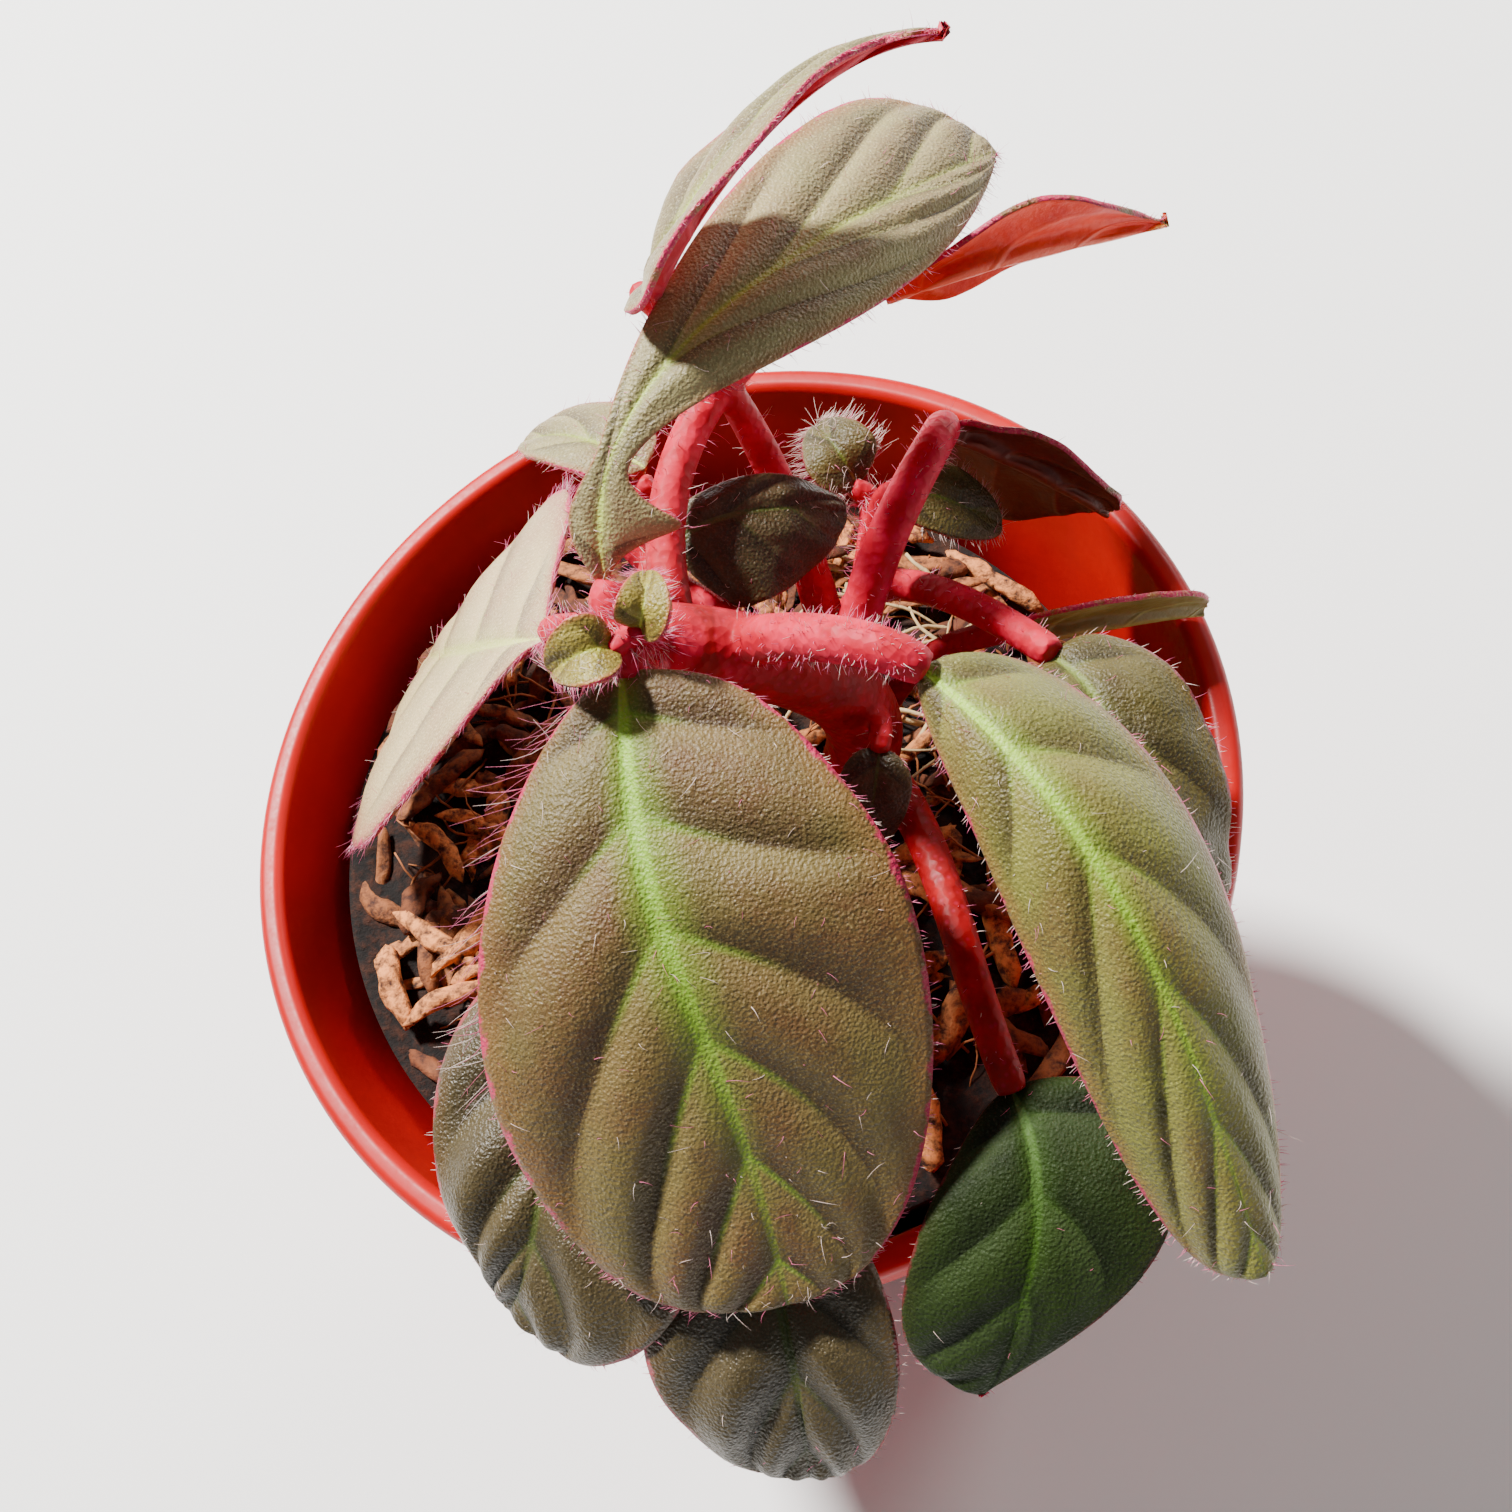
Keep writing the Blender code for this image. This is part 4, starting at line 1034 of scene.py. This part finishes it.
def add_blade(node, leaf, above, below, fineness):
    """A blade: a fine grid laid along the midrib, given its maps and then its thickness."""
    rows = int(ROWS_PER_VEIN * leaf["veins"] * fineness)
    columns = int(BLADE_COLUMNS * fineness)
    grid = bmesh.new()
    bmesh.ops.create_grid(grid, x_segments=rows, y_segments=columns, size=1.0)
    weights = grid.verts.layers.deform.verify()
    vein_map = grid.loops.layers.uv.new("veins")
    length_map = grid.loops.layers.uv.new("length")
    maps = {}
    for vertex in grid.verts:
        u = (vertex.co.x + 1) / 2
        side = math.copysign(abs(vertex.co.y) ** 1.2, vertex.co.y)
        t = 0.5 - 0.5 * math.cos(math.pi * u)
        maps[vertex] = (side, vein_count(leaf, u, side), t)
        from_midrib = max(leaf["width"]) * abs(side)
        vertex[weights][0] = math.exp(-(from_midrib / 0.75) ** 2) * (1.0 - 0.6 * t)
        vertex.co = blade_point(leaf, u, side)[0]
    for face in grid.faces:
        face.smooth = True
        for loop in face.loops:
            side, line, t = maps[loop.vert]
            loop[vein_map].uv = (side, line)
            loop[length_map].uv = (t, side)
    bmesh.ops.remove_doubles(grid, verts=grid.verts, dist=0.004 * MM)
    piece = add_piece(node + "_blade", finished_mesh(node, grid), [above, below], [node])
    piece.vertex_groups.new(name="midrib")
    skin = piece.modifiers.new("thickness", "SOLIDIFY")
    skin.thickness = MIDRIB_THICKNESS
    skin.offset = -1.0
    skin.vertex_group = "midrib"
    skin.thickness_vertex_group = BLADE_THICKNESS / MIDRIB_THICKNESS
    skin.material_offset = 1
    skin.material_offset_rim = 0
    settle(piece)


def blade_hairs(node, leaf, seed, edge_hairs, skin_hairs, pink, long_edge):
    """Hairs of a blade: how many to the millimetre of edge or square millimetre, and how long.

    Pink is the share of them that is pink; long_edge is a side, a stretch of it and the
    length of the hairs there.
    """
    draw = random.Random(seed)
    hairs = []
    length = sum((through(leaf["midrib"], (k + 1) / 20) - through(leaf["midrib"], k / 20)).length
                 for k in range(20))
    for side in (-1.0, 1.0):
        for index in range(int(length * 1.15 * edge_hairs[0])):
            u = draw.uniform(0.02, 0.98)
            point, left, face, forward = blade_point(leaf, u, side)
            out = left * side
            heading = out + forward * draw.uniform(-0.1, 0.7) + face * draw.uniform(-0.4, 0.35)
            long = edge_hairs[1] * draw.uniform(0.4, 1.3)
            if long_edge and side == long_edge[0] and long_edge[1] < u < long_edge[2]:
                long = long_edge[3] * draw.uniform(0.6, 1.1)
            look = 0 if draw.random() < pink else 1
            hairs.append((point - out * 0.02 * MM - face * 0.1 * MM, heading.normalized(),
                          (any_way(draw) + Vector((0, 0, 0.4))) * 0.25, long * MM,
                          draw.uniform(0.020, 0.034) * MM, look))
    area = length * sum(leaf["width"]) * 0.8
    for index in range(int(area * skin_hairs[0])):
        u = draw.uniform(0.03, 0.97)
        side = draw.uniform(-0.97, 0.97)
        point, left, face, forward = blade_point(leaf, u, side)
        lean = any_way(draw)
        heading = (face * draw.uniform(0.2, 0.9) + lean * 0.8).normalized()
        if heading.dot(face) < 0.15:
            heading = (heading + face * 0.5).normalized()
        look = 0 if draw.random() < pink * 0.7 else 1
        hairs.append((point - face * 0.02 * MM, heading, any_way(draw) * 0.5 + face * 0.1,
                      skin_hairs[1] * draw.uniform(0.35, 1.1) * MM,
                      draw.uniform(0.016, 0.028) * MM, look))
    add_hairs(node + "_hairs", hairs)


def grow_blade(node, above, slot_name, seed, edge_hairs, skin_hairs, pink, below=RED_BELOW,
               long_edge=None, fineness=1.0, **form):
    """A blade with its hairs. Its form is that of the solid; what is not said is plain."""
    plain = {"base": (0.5, 0.5), "tip": (0.5, 0.5), "fold": (0, 0), "curl": (-10, -10), "sweep": 0.2}
    leaf = {**plain, **form}
    add_blade(node, leaf, above, below, fineness)
    blade_hairs(node, leaf, seed, edge_hairs, skin_hairs, pink, long_edge)


# The front blade
# The largest blade, on a short stalk from the crown. It droops over the pot towards the
# viewer, and long pink hairs stand along the left of its base.
grow_blade(
    "leaf_front", BRONZE, "bronze_blade", seed=31, fineness=1.3,
    midrib=((0.2, -3.8, 92.0), (1.8, -17.5, 88.6), (4.5, -26.3, 82.6), (6.8, -38.5, 71.5)),
    face=((0.1, -0.35, 1.0), (0.25, -0.6, 0.75)), width=(14.6, 14.0), base=(0.34, 0.6),
    tip=(0.39, 0.29), fold=(-2, 0), curl=(-3, -18), sweep=0.23, veins=7, quilt=0.7, swell=1.35,
    edge_hairs=(3.2, 0.55), skin_hairs=(0.22, 1.3), pink=0.7, long_edge=(-1.0, 0.05, 0.42, 3.2),
)

# The right blades
# A long folded blade on a stout hairy stalk, and a shorter puckered one behind it.
grow_blade(
    "leaf_right", OLIVE, "bronze_blade", seed=32, fineness=1.2,
    midrib=((18.3, -4.6, 90.5), (26.3, -14.7, 90.0), (31.4, -24.6, 84.0), (35.6, -37.2, 72.0)),
    face=((0.0, 0.0, 1.0), (0.35, -0.45, 0.8)), width=(9.1, 6.9), base=(0.24, 0.56), tip=(0.43, 0.32),
    fold=(-18, -20), curl=(-34, -27), veins=7, quilt=0.6, swell=1.2,
    edge_hairs=(3.0, 0.5), skin_hairs=(0.16, 1.1), pink=0.6,
)
# Its dark moss look is partly painted shade, as it lies in the shade of leaf_right.
grow_blade(
    "leaf_right_back", MOSS, "dark_blade", seed=33,
    midrib=((25.5, 1.2, 79.5), (28.9, -4.3, 80.0), (30.5, -11.5, 77.0), (32.2, -17.8, 72.0)),
    face=((0.1, 0.1, 1.0), (0.5, -0.2, 0.8)), width=(7.2, 9.0), base=(0.37, 0.5), tip=(0.25, 0.31),
    curl=(-17, -15), veins=5, quilt=0.5, swell=1.3, wave=(5, 0.3), pucker=0.5,
    edge_hairs=(3.0, 0.7), skin_hairs=(0.15, 1.0), pink=0.4,
)

# The left blades
# A pale blade that leans into the pot towards the left, and a small one behind it.
grow_blade(
    "leaf_left", PALE_AND_PAINTED_LIGHT, "bronze_blade", seed=34, fineness=1.1,
    midrib=((-6.2, 1.9, 87.0), (-12.6, 5.3, 80.8), (-19.8, 9.4, 73.0), (-26.0, 14.4, 64.0)),
    face=((-0.61, 0.24, 0.75), (-0.71, 0.32, 0.62)), width=(16.5, 15.5), base=(2.4, 1.9),
    tip=(0.9, 1.0), sweep=0.05, veins=6, quilt=0.5,
    edge_hairs=(5.0, 1.3), skin_hairs=(0.1, 1.0), pink=0.8,
)
grow_blade(
    "leaf_back_left", GREY, "bronze_blade", seed=44, below=ORANGE_BELOW,
    midrib=((-0.3, 14.0, 87.6), (-2.8, 15.7, 87.9), (-6.2, 17.6, 87.3), (-10.3, 19.0, 85.3)),
    face=((0.0, 0.2, 1.0), (-0.2, 0.3, 0.9)), width=(3.2, 4.0), fold=(10, 0), veins=4, quilt=0.3,
    edge_hairs=(3.0, 0.8), skin_hairs=(0.1, 0.9), pink=0.7,
)

# The top blades
# A long blade that arches back from the crown, one held over it, and one seen from
# below with the light shining through it.
grow_blade(
    "leaf_top", GREY, "bronze_blade", seed=35, fineness=1.3,
    midrib=((-1.2, 2.8, 91.2), (2.6, 11.2, 98.5), (12.6, 21.5, 98.0), (24.5, 33.9, 91.0)),
    face=((0.02, -0.29, 0.9), (0.08, -0.3, 0.95)), width=(8.1, 5.6), base=(2.4, 2.1), tip=(0.43, 0.9),
    lobes=((0.1, 0.09, 1.9), (0.11, 0.06, 5.0)), curl=(-9, -30), sweep=0.23, veins=7, quilt=0.6,
    edge_hairs=(3.0, 0.7), skin_hairs=(0.2, 1.1), pink=0.7,
)
grow_blade(
    "leaf_top_far", GREY, "bronze_blade", seed=36,
    midrib=((2.9, 18.2, 100.3), (7.1, 20.4, 104.6), (14.2, 25.7, 107.2), (22.6, 30.6, 105.0)),
    face=((-0.54, 0.285, 0.775), (-0.54, 0.285, 0.775)), width=(4.6, 4.2), base=(0.4, 0.4),
    tip=(0.8, 1.5), curl=(0, 6), veins=6, quilt=0.5, wave=(4, 0.3),
    edge_hairs=(3.0, 0.5), skin_hairs=(0.08, 0.9), pink=0.8,
)
grow_blade(
    "leaf_top_red", BRONZE, "red_underside", seed=37, below=ORANGE_BELOW,
    midrib=((16.2, 25.7, 88.7), (23.2, 27.2, 88.6), (29.2, 29.0, 87.3), (35.3, 31.4, 85.0)),
    face=((-0.2, 0.95, 0.15), (-0.2, 0.95, 0.15)), width=(3.0, 4.8), base=(0.4, 1.7), tip=(2.0, 1.6),
    lobes=((0.86, 0.08, 0.5), (0.5, 0.1, 0.0)), curl=(-5, -5), veins=5, quilt=0.3, wave=(3, 0.4),
    edge_hairs=(2.5, 0.4), skin_hairs=(0.03, 0.8), pink=0.8,
)

# The middle and back blades
# Shaded blades between the stalks and along the back of the pot; the dark looks of the middle and small
# blades and the brown underside of the back blade are partly painted shade.
grow_blade(
    "leaf_middle", DARK_AND_PAINTED_SHADE, "dark_blade", seed=38,
    midrib=((0.4, 9.6, 84.2), (4.7, 11.7, 84.2), (9.0, 13.0, 82.2), (12.1, 13.8, 78.8)),
    face=((0.1, -0.3, 0.9), (0.3, -0.3, 0.8)), width=(2.4, 6.5), base=(0.4, 0.3), tip=(0.5, 0.55),
    fold=(0, -5), curl=(-10, -15), veins=5, quilt=0.4, wave=(3, 0.4), pucker=0.4,
    edge_hairs=(3.0, 0.6), skin_hairs=(0.25, 1.0), pink=0.4,
)
grow_blade(
    "leaf_back", BRONZE, "red_underside", seed=39, below=BROWN_AND_PAINTED_SHADE_BELOW,
    midrib=((19.6, 20.2, 79.8), (22.8, 19.9, 77.0), (26.8, 18.9, 73.5), (30.2, 18.3, 69.5)),
    face=((0.39, 0.91, 0.0), (0.39, 0.91, 0.0)), width=(9.0, 4.0), veins=5, quilt=0.4, wave=(3, 0.3),
    edge_hairs=(2.0, 0.6), skin_hairs=(0.05, 1.0), pink=0.4,
)
grow_blade(
    "leaf_edge_on", YOUNG, "young_blade", seed=43, below=OLIVE_BELOW,
    midrib=((23.2, 8.0, 71.0), (27.5, 8.4, 71.0), (32.5, 9.5, 69.5), (36.3, 10.2, 68.0)),
    face=((0.0, 0.9, 0.2), (0.0, 0.9, 0.2)), width=(3.2, 4.2), curl=(0, 0), veins=4, quilt=0.2,
    edge_hairs=(2.0, 0.4), skin_hairs=(0.05, 0.6), pink=0.4,
)
grow_blade(
    "leaf_small", DARK_AND_PAINTED_SHADE, "dark_blade", seed=45, fineness=0.8,
    midrib=((13.9, -3.4, 77.2), (13.6, -5.2, 76.9), (13.0, -7.1, 75.4), (12.0, -9.2, 73.0)),
    face=((0.2, -0.3, 0.9), (0.2, -0.5, 0.8)), width=(2.5, 2.5), veins=3, quilt=0.2,
    edge_hairs=(4.0, 0.5), skin_hairs=(0.2, 0.7), pink=0.5,
)

# The low blades
# Older blades that hang over the front of the rim; their dark looks are partly their own colour and
# partly painted shade under the upper blades.
grow_blade(
    "leaf_low_right", DEEP_GREEN_AND_PAINTED_SHADE, "dark_blade", seed=40,
    midrib=((21.1, -25.4, 72.0), (22.4, -31.8, 72.0), (21.2, -38.0, 69.2), (17.9, -43.3, 63.5)),
    face=((0.1, -0.2, 1.0), (0.1, -0.6, 0.7)), width=(8.8, 7.4), base=(0.6, 0.5), tip=(1.4, 0.24),
    curl=(-10, -15), veins=5, quilt=0.5,
    edge_hairs=(1.5, 0.4), skin_hairs=(0.05, 0.8), pink=0.4,
)
grow_blade(
    "leaf_low_left", DARK_AND_PAINTED_SHADE, "dark_blade", seed=41,
    midrib=((-4.7, -18.5, 73.0), (-8.0, -24.4, 74.2), (-9.8, -32.6, 72.8), (-13.2, -38.3, 67.6)),
    face=((0.1, -0.2, 1.0), (-0.2, -0.5, 0.8)), width=(12.8, 8.8), base=(0.26, 0.38), tip=(0.34, 0.57),
    curl=(-7, -11), sweep=0.23, veins=6, quilt=0.9, swell=1.5,
    edge_hairs=(2.0, 0.5), skin_hairs=(0.06, 0.8), pink=0.4,
)
grow_blade(
    "leaf_low_front", DARK_AND_PAINTED_SHADE, "dark_blade", seed=42,
    midrib=((4.2, -29.5, 70.4), (5.5, -36.5, 69.6), (6.2, -42.5, 66.3), (5.8, -48.2, 59.5)),
    face=((0.1, -0.2, 1.0), (0.1, -0.8, 0.5)), width=(6.9, 9.5), tip=(0.4, 0.42), curl=(-6, -8),
    sweep=0.23, veins=5, quilt=0.8, swell=1.5,
    edge_hairs=(2.0, 0.5), skin_hairs=(0.06, 0.8), pink=0.4,
)

# The young leaves
# Two at the crown and two on a side shoot at the back, still small and thick with hair.
grow_blade(
    "crown_leaf_left", YOUNG, "young_blade", seed=46, fineness=0.8,
    midrib=((0.5, -3.1, 94.0), (-0.5, -3.8, 95.0), (-1.9, -4.1, 94.8), (-3.8, -4.4, 93.4)),
    face=((0.2, -0.3, 0.9), (0.2, -0.3, 0.9)), width=(2.2, 2.2), base=(0.45, 0.45), tip=(0.6, 0.6),
    fold=(12, 12), curl=(10, 10), veins=3, quilt=0.15,
    edge_hairs=(14.0, 0.9), skin_hairs=(0.8, 0.8), pink=0.85,
)
grow_blade(
    "crown_leaf_right", YOUNG, "young_blade", seed=47, fineness=0.8,
    midrib=((1.9, -2.4, 94.0), (2.5, -2.2, 95.4), (2.8, -1.0, 95.9), (2.6, 1.2, 95.2)),
    face=((0.2, -0.3, 0.9), (0.2, -0.3, 0.9)), width=(1.7, 1.7), base=(0.45, 0.45), tip=(0.6, 0.6),
    fold=(12, 12), curl=(10, 10), veins=3, quilt=0.15,
    edge_hairs=(12.0, 0.9), skin_hairs=(0.8, 0.8), pink=0.85,
)
grow_blade(
    "shoot_leaf_left", MOSS, "young_blade", seed=48, fineness=0.8,
    midrib=((12.0, 20.2, 73.2), (11.4, 20.9, 75.0), (10.5, 22.4, 75.8), (8.9, 25.3, 74.6)),
    face=((-0.1, 0.1, 1.0), (-0.3, 0.4, 0.8)), width=(2.8, 2.8), fold=(5, 5), veins=3, quilt=0.2,
    edge_hairs=(14.0, 1.3), skin_hairs=(2.5, 1.4), pink=0.15,
)
grow_blade(
    "shoot_leaf_right", MOSS, "young_blade", seed=49, fineness=0.8,
    midrib=((14.8, 17.8, 76.0), (17.0, 17.0, 76.6), (19.7, 16.7, 74.6), (22.4, 17.2, 70.6)),
    face=((0.1, -0.1, 1.0), (0.4, -0.2, 0.8)), width=(2.8, 2.8), fold=(5, 5), veins=3, quilt=0.2,
    edge_hairs=(8.0, 0.9), skin_hairs=(0.6, 0.9), pink=0.3,
)
